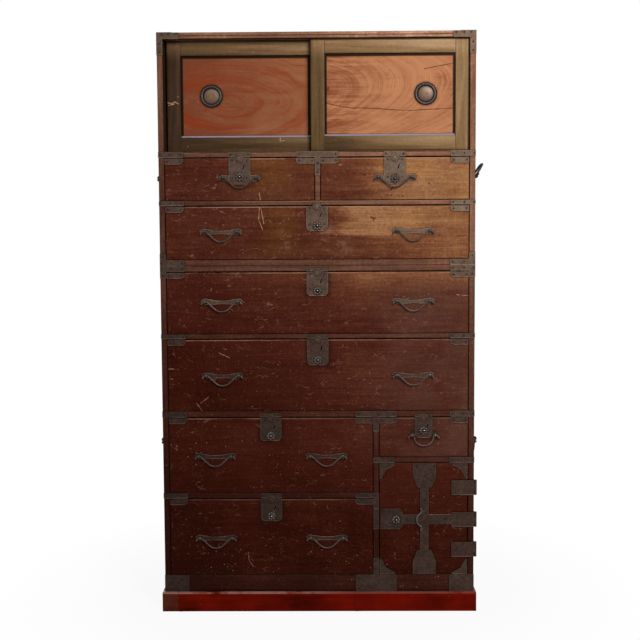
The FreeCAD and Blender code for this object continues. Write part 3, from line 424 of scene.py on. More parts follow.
def lacquer(name, chart, table, grain, wear, front=False):
    recipe = Recipe(name, gloss=0.05, tint=(255, 120, 70))
    along = GRAIN_ALONG[grain]
    streaks = recipe.noise(recipe.stretch(*along), 1.0, 5.0, 0.6)
    fine = recipe.noise(recipe.stretch(*(v * 4 for v in along)), 1.0, 4.0, 0.7)
    blotch = recipe.noise(recipe.place, 7.0, 5.0, 0.6)
    mottle = recipe.noise(recipe.place, 105.0, 4.0, 0.75)
    # The pale patch: partly wear, partly a painted reflection of the light.
    patch = faded_and_lit(recipe) if front else 0.0
    tone = tone_field(recipe, table) + patch
    for pattern, amount in ((streaks, 0.3), (fine, 0.3), (blotch, 0.45), (mottle, 0.5)):
        tone = nudge(tone, pattern, amount)
    colour = recipe.ramp(tone, chart)
    worn_and_lit, edges_not_up = edge_shares(recipe)
    # Painted highlight, with wear: the eased edges that look up show the pale ground.
    chips = chipped(recipe, wear) | worn_and_lit * (1.0 if front else 0.6)
    if front:
        colour = front_stains(recipe, colour, tone, blotch, patch)
        chips = chips | marks(recipe, SCRATCHES, 0.0010) * 0.85
    ground = recipe.mix(recipe.z.between(0.3, 1.4), (136, 96, 78), (184, 142, 114))
    colour = recipe.mix(chips * 0.72, colour, ground)
    # Painted shade: the eased edges that don't look up, and the corners and recesses, turn near
    # black.
    colour = recipe.mix(edges_not_up * 0.8 | corner_shade(recipe) * 0.75, colour, (24, 9, 6))
    rough = blotch * 0.25 + 0.3
    if front:
        # Painted highlight, with wear: pale lines under the top edges of the fronts.
        colour = recipe.mix(worn_and_lit_lines(recipe, FRONT_TOPS) * 0.42, colour, ground)
        # Painted shade: the wood seen through each keyhole is painted near black.
        colour = recipe.mix(marks(recipe, KEYHOLES, 0.006, 0.0), colour, (8, 5, 4))
    else:
        # The same pale lines, partly painted highlight, fainter on the case.
        colour = recipe.mix(worn_and_lit_lines(recipe, CASE_TOPS) * 0.22, colour, ground)
        rough = recipe.z.between(1.7555, 1.7575) * 0.35 + rough
    return recipe.finish(colour, rough, streaks * 0.5 - chips * 0.8, 0.0006, 0.35)


front_lacquer = lacquer("front_lacquer_rubbed", LACQUER, FRONT_TONES, "across", 1.0, front=True)
case_across = lacquer("case_lacquer_across", CASE, CASE_TONES, "across", 0.6)
case_upright = lacquer("case_lacquer_upright", CASE, CASE_TONES, "upright", 0.6)
print("lacquers", front_lacquer.name, case_across.name, case_upright.name)

# %% [markdown]
# ## Bare wood inside
# Drawer sides, bottoms, dust boards and the back are soft pale wood that was never
# lacquered. It has only darkened with age. In the few fingers' widths behind the front it
# is painted near black: partly the dust and hands there, and partly painted shade in the
# gaps between the fronts and the case. The grain follows each board's length, so there is
# one recipe and a direction.

# %% Bare wood
def bare_wood(name, grain, light=(176, 136, 92), dark=(128, 90, 56)):
    recipe = Recipe(name, gloss=0.0)
    along = recipe.stretch(*(v * 1.4 for v in GRAIN_ALONG[grain]))
    lines = recipe.noise(along, 1.0, 6.0, 0.65, 0.4)
    cloud = recipe.noise(recipe.place, 4.0, 4.0, 0.6)
    colour = recipe.mix((cloud * 0.5 + lines * 0.6).between(0.35, 0.8), dark, light)
    colour = recipe.mix(flecks(recipe, 60, 0.004, 0.03) * 0.5, colour, (92, 62, 40))
    # Dust and painted shade: near black close behind the front, where the gaps lie in shade.
    dirt_and_shade = (cloud * 0.02 + recipe.y).between(-0.125, -0.16)
    colour = recipe.mix(dirt_and_shade * 0.93, colour, (24, 11, 7))
    return recipe.finish(colour, lines * 0.2 + 0.62, lines, 0.0008, 0.4)


bare = {grain: bare_wood("bare_wood_" + grain, grain) for grain in GRAIN_ALONG}
back_boards = bare_wood("back_wood_aged", "upright", (150, 112, 74), (104, 72, 45))
print("bare woods", len(bare) + 1)

# %% [markdown]
# ## The sliding doors
# Their frames carry a thin brown-gold lacquer with the brush and grain still in it, dark
# at the left and pale at the right: partly the lacquer's own fading, partly painted light,
# the falloff from the light on the right, with the top rail painted paler against the
# shadow of the case top. The panels are one figured board each. Sawn
# near the heart of the tree, such a board shows nested arches: lines where the distance
# along the board, plus a curve times the square of the distance from its middle line,
# stays the same.

# %% Door frame lacquer
FRAME_CHART = [(0.0, (44, 28, 13)), (0.2, (62, 43, 22)), (0.4, (84, 62, 36)), (0.6, (106, 80, 50)),
               (0.8, (132, 103, 68)), (1.0, (160, 128, 94))]
PLUM = [(0.0, (40, 26, 22)), (0.4, (84, 58, 48)), (1.0, (150, 112, 92))]
# Painted light, with the lacquer's own fading: dark at the left and pale at the right with the
# light, and the top rows lift the top rail out of the case top's shadow.
FRAME_TONES = [(1.41, 0.06, 0.72), (1.48, 0.0, 0.7), (1.68, 0.0, 0.7), (1.71, 0.36, 0.86),
               (1.745, 0.66, 0.88)]
DOOR_SCRATCHES = [((-0.4491, 1.5570), (-0.4380, 1.5540)), ((-0.4380, 1.5540), (-0.4280, 1.5590)),
                  ((-0.4280, 1.5590), (-0.4157, 1.5525)), ((-0.4471, 1.5490), (-0.4300, 1.5530)),
                  ((-0.1100, 1.4500), (-0.1110, 1.4400)), ((-0.1110, 1.4400), (-0.0961, 1.4420))]


def frame_lacquer(name, grain):
    recipe = Recipe(name, gloss=0.2, tint=(255, 225, 190))
    along = GRAIN_ALONG[grain]
    streaks = recipe.noise(recipe.stretch(*(v * 1.6 for v in along)), 1.0, 5.0, 0.65)
    band = recipe.noise(recipe.stretch(*(v * 0.5 for v in along)), 1.0, 2.0)
    mottle = recipe.noise(recipe.place, 110.0, 3.0, 0.7)
    tone = tone_field(recipe, FRAME_TONES, -0.42, 0.34, 0.12)
    for pattern, amount in ((streaks, 0.7), (band, 0.4), (mottle, 0.25)):
        tone = nudge(tone, pattern, amount)
    colour = recipe.ramp(tone, FRAME_CHART)
    colour = recipe.mix(band.between(0.5, 0.7) * 0.4, colour, recipe.ramp(tone, PLUM))
    chips = marks(recipe, DOOR_SCRATCHES, 0.0009, 0.004) | flecks(recipe, 110, 0.002, 0.02)
    colour = recipe.mix(chips, colour, (178, 138, 98))
    # Painted shadow: a dark patch low on the right door's bottom rail, near its left end.
    shadow_patch = recipe.x.between(0.005, 0.03) * recipe.x.between(0.2, 0.06)
    shadow_patch = shadow_patch * nudge(recipe.z, mottle, 0.02).between(1.46, 1.43)
    colour = recipe.mix(shadow_patch * 0.6, colour, (40, 27, 20))
    worn_and_lit, edges_not_up = edge_shares(recipe, 45.0)
    # Painted highlight, with wear: the eased edges that look up turn a pale grey.
    colour = recipe.mix(worn_and_lit * 0.75, colour, (128, 122, 130))
    # Painted shade: the other eased edges, and the corners and recesses, turn dark.
    colour = recipe.mix(edges_not_up * 0.55 | corner_shade(recipe) * 0.7, colour, (26, 16, 8))
    return recipe.finish(colour, streaks * 0.25 + 0.3, streaks, 0.0005, 0.3)


frame_across = frame_lacquer("door_frame_across", "across")
frame_upright = frame_lacquer("door_frame_upright", "upright")

# %% Figured door panels
RIGHT_CRACK = [(0.018, 1.5520), (0.0696, 1.5406), (0.110, 1.5345), (0.1364, 1.5355),
               (0.19, 1.5320), (0.2367, 1.5285), (0.2831, 1.5265), (0.3438, 1.5301),
               (0.4205, 1.5330)]
SHORT_CRACK = [(0.3235, 1.6494), (0.3632, 1.6571), (0.4205, 1.6667)]
KNOTS = [((0.0305, 1.5905), (0.0335, 1.5900)), ((0.0345, 1.5945), (0.036, 1.5945))]
LEFT_CHART = [(0.0, (105, 62, 42)), (0.35, (127, 80, 55)), (0.7, (146, 96, 65)),
              (1.0, (164, 111, 76))]
RIGHT_CHART = [(0.0, (88, 42, 25)), (0.4, (120, 67, 43)), (0.7, (146, 91, 61)),
               (0.86, (163, 108, 74)), (1.0, (175, 119, 82))]
stile_width, rail_width = 0.041, 0.049
recess_shadow, sill_highlight = (12, 5, 3), (148, 136, 152)


def nested_arches(recipe):
    """Arches side by side: the distance along the board, bent by the height squared."""
    heart, curve = 1.598, 11.0
    sway = recipe.noise(recipe.place, 4.0, 2.0, 0.5, 0.4) * 0.14 - 0.07
    off = recipe.z + sway * 0.5 - heart
    return off * off * curve + (recipe.x + sway)


def ovals(recipe):
    """Ovals round a centre, where the wood of a fork has grown together."""
    centre_x, centre_z, squeeze = -0.27, 1.555, 2.2
    sway = recipe.noise(recipe.place, 4.0, 2.0, 0.5, 0.8) * 0.16 - 0.08
    flat = recipe.point(recipe.x - centre_x, 0.0, (recipe.z - centre_z) * squeeze)
    return recipe.measure("LENGTH", flat) + sway


def flow(recipe, arch, count, length):
    """Streaks that run along the rings: noise squeezed across them."""
    where = recipe.point(arch * count, recipe.z * length, recipe.x * length)
    return recipe.noise(where, 1.0, 4.0, 0.6)


def in_its_frame(recipe, colour, side):
    """The panel lies back in its frame: painted shadow under the top rail and at the stiles,
    and a painted highlight along the foot, where its bevelled edge faces up to the light."""
    low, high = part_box(side + "_door_frame")
    left, right = low.x + stile_width, high.x - stile_width
    foot, head = low.z + rail_width, high.z - rail_width
    dark = recipe.z.between(head - 0.0105, head - 0.0065)
    dark = dark | recipe.x.between(left + 0.008, left + 0.005)
    dark = dark | recipe.x.between(right - 0.0095, right - 0.006) | corner_shade(recipe, 0.008)
    colour = recipe.mix(dark * 0.97, colour, recess_shadow)
    return recipe.mix(recipe.z.between(foot + 0.006, foot + 0.004) * 0.9, colour, sill_highlight)


def keyaki(name, side, figure, rings, chart, red, streak, ring_depth, cracks=()):
    """figure builds the value whose steps are the rings, and rings sets how close they lie.
    streak: how streaky the wood is between them. ring_depth: how red they are."""
    recipe = Recipe(name, gloss=0.07, tint=(255, 220, 190))
    arch = figure(recipe)
    ring = recipe.math("FRACT", arch * (rings * 8.5))
    narrow = ring.between(0.2, 0.9) * ring.between(1.0, 0.9)
    streams = flow(recipe, arch, rings * 1.3, 1.2).between(0.44, 0.7)
    threads = flow(recipe, arch, rings * 6, 5.0)
    pores = recipe.noise(recipe.stretch(5, 40, 130), 1.0, 4.0, 0.65, 0.3)
    cloud = recipe.noise(recipe.stretch(2, 2, 5), 2.2, 4.0, 0.6, 0.8)
    mottle = recipe.noise(recipe.stretch(60, 60, 110), 1.0, 3.0, 0.7)
    # Painted light, in part: darker at the left and paler at the right with the falloff of the
    # light, as well as the wood's own colour.
    tone = recipe.x.between(-0.1, 0.4) * 0.35 + recipe.x.between(-0.42, 0.1) * 0.65
    tone = tone - recipe.x.between(0.33, 0.4) * 0.16
    for pattern, amount in ((cloud, 0.8), (mottle, 0.5), (threads, 0.4 + 0.5 * streak),
                            (pores, recipe.x.between(0.24, 0.05) * streak + 0.2)):
        tone = nudge(tone, pattern, amount)
    colour = recipe.ramp(tone, chart)
    colour = recipe.mix((narrow * 0.5 + streams * 0.7) * ring_depth, colour, red)
    faded = recipe.noise(recipe.stretch(5, 5, 16, (0.7, 0, 0.2)), 1.0, 5.0, 0.65, 0.5)
    faded = faded.between(0.42, 0.66) * recipe.x.between(-0.32, -0.16)
    colour = recipe.mix(faded * (0.6 - 0.5 * streak), colour, (136, 92, 64))
    ember = recipe.noise(recipe.stretch(3, 3, 18, (1.3, 0, 0.4)), 2.2, 5.0, 0.65, 0.6)
    low_left = (recipe.x + recipe.z * 0.5).between(0.98, 0.78)
    colour = recipe.mix(ember.between(0.46, 0.66) * low_left * (streak * 0.7), colour, red)
    strokes = [pair for line in cracks for pair in zip(line, line[1:])]
    if strokes:
        dark = marks(recipe, strokes, 0.0013) | marks(recipe, KNOTS, 0.0032) * 0.85
        colour = recipe.mix(dark * 0.85, colour, (70, 38, 22))
    colour = in_its_frame(recipe, colour, side)
    return recipe.finish(colour, pores * 0.2 + 0.36, pores * 0.5 + narrow * 0.2, 0.0005, 0.3)


left_panel = keyaki("keyaki_left", "left", ovals, 16.0, LEFT_CHART, (122, 47, 20), 0.3, 1.0)
right_panel = keyaki("keyaki_right", "right", nested_arches, 17.0, RIGHT_CHART, (112, 48, 28),
                     1.2, 0.42, [RIGHT_CRACK, SHORT_CRACK])
print("panels", left_panel.name, right_panel.name)

# %% [markdown]
# ## Iron, bronze and the red plinth
# The mounts are forged iron, blackened with lacquer and worn brown since, and their tone
# is painted paler high on the right and darker low on the left, following the light.
# Metallic is kept low, because what shows is mostly the dead black coat. The handles are
# touched every day and shine a little more. The plinth is the one glossy red thing on the chest.

# %% Iron and bronze
# Painted light: the plates are darker low on the left and paler high on the right, following the
# light.
IRON_TONES = [(0.08, 0.08, 0.3), (0.3, -0.04, 0.22), (0.5, 0.0, 0.3), (0.73, 0.1, 0.4),
              (0.86, 0.14, 0.44), (0.95, 0.42, 0.6), (1.05, 0.26, 0.66), (1.16, 0.36, 0.84),
              (1.32, 0.34, 0.86), (1.5, 0.5, 0.8), (1.76, 0.54, 0.82)]
HANDLE_TONES = [(0.1, 0.2, 0.28), (0.5, 0.16, 0.34), (0.9, 0.3, 0.36), (1.1, 0.3, 0.3),
                (1.3, 0.14, 0.16), (1.76, 0.3, 0.3)]
PLATE = [(0.0, (36, 25, 21)), (0.25, (54, 40, 34)), (0.5, (74, 58, 50)), (0.75, (96, 78, 64)),
         (1.0, (122, 100, 82))]
HANDLE = [(0.0, (52, 44, 42)), (0.25, (72, 62, 59)), (0.5, (94, 82, 79)), (0.75, (108, 95, 90)),
          (1.0, (124, 109, 101))]


def iron(name, chart, rough, metallic=0.3, shift=0.0, tones=IRON_TONES):
    """shift: how much paler the piece is than the plates near it."""
    recipe = Recipe(name, metallic=metallic, gloss=0.2, tint=(255, 225, 205))
    cloud = recipe.noise(recipe.place, 24.0, 4.0, 0.6)
    pits = recipe.noise(recipe.place, 150.0, 4.0, 0.8)
    tone = tone_field(recipe, tones) + shift
    tone = nudge(nudge(tone, pits, 1.1), cloud, 0.5)
    worn_and_lit, edges_not_up = edge_shares(recipe, 40.0)
    # The filed edges are painted paler, most where they look up: filing and a painted highlight.
    colour = recipe.ramp(tone + (edges_not_up * 0.24 + worn_and_lit * 0.8), chart)
    rust = recipe.noise(recipe.place, 60.0, 4.0, 0.7).between(0.55, 0.68) * 0.35
    colour = recipe.mix(rust, colour, (84, 52, 36))
    colour = recipe.mix(worn_and_lit * 0.48, colour, (150, 122, 106))
    # Painted shade in the corners and next to raised parts.
    colour = recipe.mix(corner_shade(recipe, 0.004) * 0.6, colour, (16, 10, 8))
    return recipe.finish(colour, pits * 0.3 + rough, pits * 0.5 + cloud, 0.0012, 0.5)


def plain_metal(name, dark, light, rough, metallic):
    recipe = Recipe(name, metallic=metallic, gloss=0.4)
    cloud = recipe.noise(recipe.place, 90.0, 4.0, 0.65)
    colour = recipe.mix(cloud.between(0.35, 0.65), dark, light)
    return recipe.finish(colour, cloud * 0.25 + rough, cloud, 0.00024, 0.4)


def black_button():
    """Black all over, but for a painted highlight: a pale spot a little above and right of its
    middle.
    """
    recipe = Recipe("button_black", metallic=0.2, gloss=0.4)
    painted_glint = recipe.measure("DOT_PRODUCT", recipe.look, (0.22, -0.90, 0.37))
    return recipe.finish(recipe.mix(painted_glint.between(0.93, 0.985), (9, 6, 6), (190, 184, 176)), 0.3)


def turned_bronze():
    """A pull turned on a lathe: its colours lie in rings round its own middle. The dark
    groove ring and the dark outer line are painted shade, and a pale band high on the dome
    is a painted highlight. The two pulls stand alike to either side of a line a little right
    of the chest's middle."""
    between_pulls, pull_at, pull_height, pull_radius = 0.0045, 0.3225, 1.576, 0.036
    recipe = Recipe("pull_bronze_turned", metallic=0.3, gloss=0.35)
    aside = abs(recipe.x - between_pulls) - pull_at
    far = recipe.measure("LENGTH", recipe.point(aside, 0.0, recipe.z - pull_height))
    # Painted shade: the groove ring and the outer line of the rim are near black.
    colour = recipe.ramp(far / pull_radius, [
        (0.0, (106, 80, 56)), (0.4, (98, 72, 51)), (0.62, (74, 52, 40)), (0.66, (14, 8, 7)),
        (0.73, (14, 8, 7)), (0.77, (76, 62, 56)), (0.84, (52, 42, 40)), (0.875, (22, 14, 12)),
        (1.0, (12, 7, 6))])
    cloud = recipe.noise(recipe.place, 70.0, 4.0, 0.65)
    worn = cloud.between(0.45, 0.7) * far.between(0.025, 0.012)
    colour = recipe.mix(worn * 0.7, colour, (70, 48, 40))
    # Painted highlight: a pale band high on the dome.
    painted_gleam = recipe.z.between(1.578, 1.596) * far.between(0.023, 0.016)
    colour = recipe.mix(painted_gleam * 0.4, colour, (140, 114, 90))
    # Painted shade in the hollows of the pull.
    colour = recipe.mix(corner_shade(recipe, 0.004) * 0.8, colour, (14, 8, 6))
    return recipe.finish(colour, cloud * 0.25 + 0.3, cloud, 0.0003, 0.3)


plate_iron = iron("plate_iron", PLATE, 0.5)
boss_iron = iron("boss_iron", PLATE, 0.45, 0.3, 0.16)
# Partly painted light: the rosette is near black, as shade between the petals, and the petals
# paler, as lit tops; the rest is the iron's own dark colour.
rosette_iron = plain_metal("rosette_iron", (14, 9, 8), (38, 28, 24), 0.5, 0.3)
petal_iron = plain_metal("petal_iron", (56, 44, 38), (98, 82, 72), 0.35, 0.4)
handle_iron = iron("handle_iron", HANDLE, 0.3, 0.5, tones=HANDLE_TONES)
ring_iron = iron("ring_iron", HANDLE, 0.3, 0.5, 0.25, tones=HANDLE_TONES)
post_iron = iron("post_iron", HANDLE, 0.3, 0.5, 0.15, tones=HANDLE_TONES)
nail_iron = plain_metal("nail_iron", (12, 8, 7), (30, 21, 18), 0.5, 0.3)
button_black, pull_bronze = black_button(), turned_bronze()


def plinth_red(name, deep, bright):
    recipe = Recipe(name, gloss=0.1, tint=(255, 60, 30))
    streaks = recipe.noise(recipe.stretch(2, 20, 30), 1.0, 4.0, 0.6)
    cloud = recipe.noise(recipe.place, 6.0, 3.0, 0.6)
    colour = recipe.mix((cloud * 0.6 + streaks * 0.5).between(0.35, 0.75), deep, bright)
    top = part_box("plinth")[1].z
    # Painted highlight: a pale line just under the plinth's top edge, stronger towards the left.
    rim = recipe.z.between(top - 0.0055, top - 0.0035) * (recipe.x.between(0.1, -0.1) * 0.5 + 0.25)
    rim = rim * recipe.noise(recipe.stretch(9, 9, 9), 1.0, 4.0, 0.7).between(0.3, 0.5)
    colour = recipe.mix(rim, colour, (150, 108, 96))
    colour = recipe.mix(flecks(recipe, 120, 0.0018, 0.06), colour, (120, 60, 40))
    return recipe.finish(colour, cloud * 0.25 + 0.12, streaks, 0.0004, 0.25)


plinth_front = plinth_red("plinth_red", (52, 7, 3), (112, 18, 6))
plinth_cap = plinth_red("plinth_cap_brown", (56, 22, 14), (92, 44, 30))
print("metals and plinth done")

# %% [markdown]
# ## Boards with eased edges
# A plane leaves an edge sharp for a week. After that, hands round it. The CAD boards
# are exact, and several are joined in one mesh, so a node is copied board by board. A
# Bevel modifier would round its holes and grooves as well. Here a strip is cut along
# each side of the board's box, and the edges of the box are drawn in. The faces left
# there carry an attribute named edge. On those that look up the lacquer shows its ground,
# partly wear and partly a painted highlight; on the others it is painted dark as shade.

# %% Split a node into its boards
def place_of(vertex):
    """A place that two corners share when they are the same point."""
    return tuple(round(c, 6) for c in vertex.co)


def solids_of(node):
    """Runs of triangles that close up: each is one board, plate or post of the node."""
    mesh = nodes[node].data
    corners = [place_of(v) for v in mesh.vertices]
    waiting, runs, start = set(), [], 0
    for index, face in enumerate(mesh.polygons):
        ring = [corners[v] for v in face.vertices]
        for a, b in zip(ring, ring[1:] + ring[:1]):
            if (b, a) in waiting:
                waiting.discard((b, a))
            else:
                waiting.add((a, b))
        if not waiting:
            runs.append(range(start, index + 1))
            start = index + 1
    return [shape_from(mesh, run) for run in runs or [range(len(mesh.polygons))]]


def shape_from(mesh, run):
    """A run of triangles as a shape of its own, with its corners merged."""
    shape, made = bmesh.new(), {}
    for index in run:
        points = []
        for v in mesh.polygons[index].vertices:
            key = place_of(mesh.vertices[v])
            if key not in made:
                made[key] = shape.verts.new(mesh.vertices[v].co)
            points.append(made[key])
        if len(set(points)) == 3 and not shape.faces.get(points):
            shape.faces.new(points)
    bmesh.ops.remove_doubles(shape, verts=shape.verts, dist=1e-6)
    shape.normal_update()
    return shape


def span(shape):
    """The low and the high corner of a shape's box."""
    places = [v.co for v in shape.verts]
    return [Vector([end(p[i] for p in places) for i in range(3)]) for end in (min, max)]

# %% Ease the edges of a board
def near_sides(place, low, high, close):
    """The directions in which a place is close to a side of the box."""
    return [i for i in range(3) if place[i] - low[i] < close or high[i] - place[i] < close]


def ease(shape, low, high, amount):
    """Cuts a strip along each side of the board's box, then draws the box's edges in."""
    drawn_in, touching = amount * 0.293, 1e-5
    worn = shape.faces.layers.float.new("edge")
    for i in range(3):
        for level in (low[i] + amount, high[i] - amount):
            on_level, across = Vector(), Vector()
            on_level[i], across[i] = level, 1.0
            bmesh.ops.bisect_plane(shape, geom=shape.verts[:] + shape.edges[:] + shape.faces[:],
                                   dist=1e-7, plane_co=on_level, plane_no=across)
    for face in shape.faces:
        face[worn] = float(len(near_sides(face.calc_center_median(), low, high, amount)) > 1)
    for v in shape.verts:
        near = near_sides(v.co, low, high, touching)
        if len(near) > 1:
            for i in near:
                v.co[i] += drawn_in * (1 if v.co[i] - low[i] < touching else -1)
    shape.normal_update()

# %% Put a dressed piece in a node's place
def dress(name, node, body, work, sharp=35):
    """One piece in place of a node, riding on its body. For each of the node's boards
    work(shape, low, high) shapes it, and gives back how each face finds its finish."""
    whole, finishes = bmesh.new(), []
    worn = whole.faces.layers.float.new("edge")
    for shape in solids_of(node):
        finish_of = work(shape, *span(shape))
        eased = shape.faces.layers.float.get("edge")
        made = {v: whole.verts.new(v.co) for v in shape.verts}
        for face in shape.faces:
            copy = whole.faces.new([made[v] for v in face.verts])
            copy.smooth = True
            copy[worn] = face[eased] if eased else 0.0
            finish = finish_of(face)
            if finish not in finishes:
                finishes.append(finish)
            copy.material_index = finishes.index(finish)
        shape.free()
    bmesh.ops.triangulate(whole, faces=[f for f in whole.faces if len(f.verts) > 4])
    mesh = bpy.data.meshes.new(name)
    whole.to_mesh(mesh)
    whole.free()
    for finish in finishes:
        mesh.materials.append(finish)
    mesh.set_sharp_from_angle(angle=math.radians(sharp))
    piece = bpy.data.objects.new(name, mesh)
    bpy.context.collection.objects.link(piece)
    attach(piece, body)
    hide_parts(node)


def all_over(finish, amount=0.0):
    """The work on boards that have one finish on every face."""
    def work(shape, low, high):
        if amount:
            ease(shape, low, high, amount)
        return lambda face: finish
    return work


def grain_of(low, high):
    """The grain of a board runs along its longest side."""
    size = high - low
    return ("across", "deep", "upright")[max(range(3), key=lambda i: size[i])]

# %% [markdown]
# ### Drawers and the cupboard door
# Only the front of a drawer is lacquered. Its sides, back and bottom are bare, and so is
# the back of the front. The board that reaches the front plane is told apart by its box.

# %% Drawer boards
front_plane = -0.210
bodies = frame["record"]["behaviour"]["bodies"]


def drawer_board(shape, low, high):
    is_front = low.y < front_plane + 0.004
    ease(shape, low, high, 0.0011 if is_front else 0.0006)
    wood = bare[grain_of(low, high)]

    def finish_of(face):
        seen = face.normal.y < -0.3 or face.calc_center_median().y < front_plane + 0.003
        return front_lacquer if is_front and seen else wood
    return finish_of


drawers = [b for b in bodies if b + "_boards" in nodes]
for body in drawers:
    dress(body + "_boards_wood", body + "_boards", body, drawer_board)
dress("safe_door_wood", "safe_door_board", "safe_door",
      all_over(front_lacquer, 0.0011))
print("drawers with wood", len(drawers))

# %% [markdown]
# ### The cases, the plinth and the sliding doors
# Outside, the cases are lacquered. Inside, where a drawer hides them, they are bare.
# A face is outside when it looks forward at the front plane, or out past the sides, or
# up on the very top. The plinth's left end is its one brown part, and a door's stiles
# and rails differ in the way their grain runs.

# %% Case, plinth and door boards
half_width, top_of_case = 0.475, 1.754


def case_board(shape, low, high):
    ease(shape, low, high, 0.0012)
    grain = grain_of(low, high)
    painted = case_upright if grain == "upright" else case_across

    def finish_of(face):
        place = face.calc_center_median()
        at_front = place.y < front_plane + (0.03 if face.normal.y < -0.9 else 0.0025)
        outside = at_front or abs(place.x) > half_width - 0.003 or place.z > top_of_case
        return painted if outside else bare[grain]
    return finish_of


def plinth_board(shape, low, high):
    ease(shape, low, high, 0.0015)
    painted = plinth_cap if low.x < -0.48 and high.x < -0.43 else plinth_front

    def finish_of(face):
        place = face.calc_center_median()
        outside = abs(place.y) > 0.19 or abs(place.x) > 0.45
        return painted if outside or painted == plinth_cap else bare["across"]
    return finish_of


def door_frame_board(shape, low, high):
    ease(shape, low, high, 0.001)
    finish = frame_upright if grain_of(low, high) == "upright" else frame_across
    return lambda face: finish


for node in ("lower_case_boards", "lower_case_shelves", "upper_case_boards", "upper_case_shelves"):
    dress(node + "_wood", node, "case", case_board)
dress("plinth_wood", "plinth", "case", plinth_board)
for node in ("lower_case_back", "upper_case_back"):
    dress(node + "_wood", node, "case", all_over(back_boards, 0.0006))
for body, panel in (("left_door", left_panel), ("right_door", right_panel)):
    dress(body + "_frame_wood", body + "_frame", body, door_frame_board)
    dress(body + "_panel_wood", body + "_panel", body, all_over(panel))
print("cases, plinth and sliding doors eased")

# %% [markdown]
# ## Iron plates
# The plates are about a millimetre thick, cut with a chisel, then filed. Filing breaks
# the front edge, and that line catches the light; the iron finish also paints it paler,
# most where it looks up, as a painted highlight. A Bevel modifier would do it on clean
# quads, but on a plate of loose triangles an inset is steadier: the front face is inset
# by the width of the filed line, and its old outline, holes too, is pushed back a little.

# %% Plates
def file_front(shape, low, high):
    """Breaks the front edge of a plate, on the front and where it wraps an end."""
    width, drop = 0.0013, 0.0003
    worn = shape.faces.layers.float.new("edge")
    for axis, side, outward in ((1, low.y, -1.0), (0, low.x, -1.0), (0, high.x, 1.0)):
        look = Vector()
        look[axis] = outward
        flat = [f for f in shape.faces if f.normal.dot(look) > 0.99
                and all(abs(v.co[axis] - side) < 1e-5 for v in f.verts)]
        if not flat or axis == 0 and abs(side) < half_width:
            continue
        outline = {v for f in flat for e in f.edges
                   if sum(g in flat for g in e.link_faces) == 1 for v in e.verts}
        rim = bmesh.ops.inset_region(shape, faces=flat, thickness=width, use_even_offset=True,
                                     use_boundary=True)["faces"]
        for face in rim:
            face[worn] = 1.0
        for v in outline:
            v.co -= look * drop
    shape.normal_update()


button_at = {name.removesuffix("_button"): sum(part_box(name), Vector()) / 2
             for name in nodes if name.endswith("_button")}
bosses = []


def iron_work(body):
    """Rosettes, bosses and eye posts are told from plain plates by their size."""
    def work(shape, low, high):
        size, middle = high - low, (low + high) / 2
        if 0.020 < size.x < 0.027 and abs(size.x - size.z) < 0.001 and size.y < 0.006:
            if body in button_at and (middle - button_at[body]).length < 0.012:
                return lambda face: rosette_iron
            bosses.append((body, Vector((middle.x, low.y, middle.z))))
            return lambda face: boss_iron
        if size.y > 0.012 and size.x < 0.014 and size.z < 0.014:
            return lambda face: post_iron
        if low.y < front_plane - 0.0002 and size.y < 0.05:
            file_front(shape, low, high)
        return lambda face: plate_iron
    return work


iron_nodes = [(b, n) for b, ns in bodies.items() for n in ns if n.endswith("_irons")]
for body, node in iron_nodes:
    dress(node + "_filed", node, body, iron_work(body), sharp=12)
print("irons filed", len(iron_nodes), "bosses", len(bosses))

# %% [markdown]
# ## Nails
# Each plate is held by a few forged nails with small domed heads. There are hundreds, so
# they are instances: a point is put down for each nail, and a Geometry Nodes tree sets
# a head on it, turned to face out of the plate and a little uneven in size, as forged
# heads are. Two short cones, one on the other, make a head with few faces.

# %% A tree of nodes that sets heads on points
def new_tree(name, sizes):
    """A Geometry Nodes tree, its points, and a value for each of the named sizes."""
    tree = bpy.data.node_groups.new(name, "GeometryNodeTree")
    tree.interface.new_socket("Points", in_out="INPUT", socket_type="NodeSocketGeometry")
    for label, size in sizes:
        kind = "NodeSocketInt" if isinstance(size, int) else "NodeSocketFloat"
        tree.interface.new_socket(label, in_out="INPUT", socket_type=kind).default_value = size
    tree.interface.new_socket("Pieces", in_out="OUTPUT", socket_type="NodeSocketGeometry")
    steps = Tree(tree)
    given = steps.add("NodeGroupInput").outputs
    return steps, *(Value(steps, given[key]) for key in ("Points", *dict(sizes)))


def set_on_points(steps, points, piece, finish, scale=None):
    """The last steps: the piece on each point, turned to look along the attribute facing,
    then made real, because an export keeps no instances, and given its finish."""
    facing = steps.out("GeometryNodeInputNamedAttribute", {"Name": "facing"}, "Attribute",
                       data_type="FLOAT_VECTOR")
    turned = steps.out("FunctionNodeAlignRotationToVector", {"Vector": facing}, axis="Z")
    set_down = steps.out("GeometryNodeInstanceOnPoints", {
        "Points": points, "Instance": piece, "Rotation": turned, "Scale": scale})
    real = steps.out("GeometryNodeRealizeInstances", [set_down])
    dressed = steps.out("GeometryNodeSetMaterial", {"Geometry": real, "Material": finish})
    steps.add("NodeGroupOutput", [dressed])
    return steps.tree


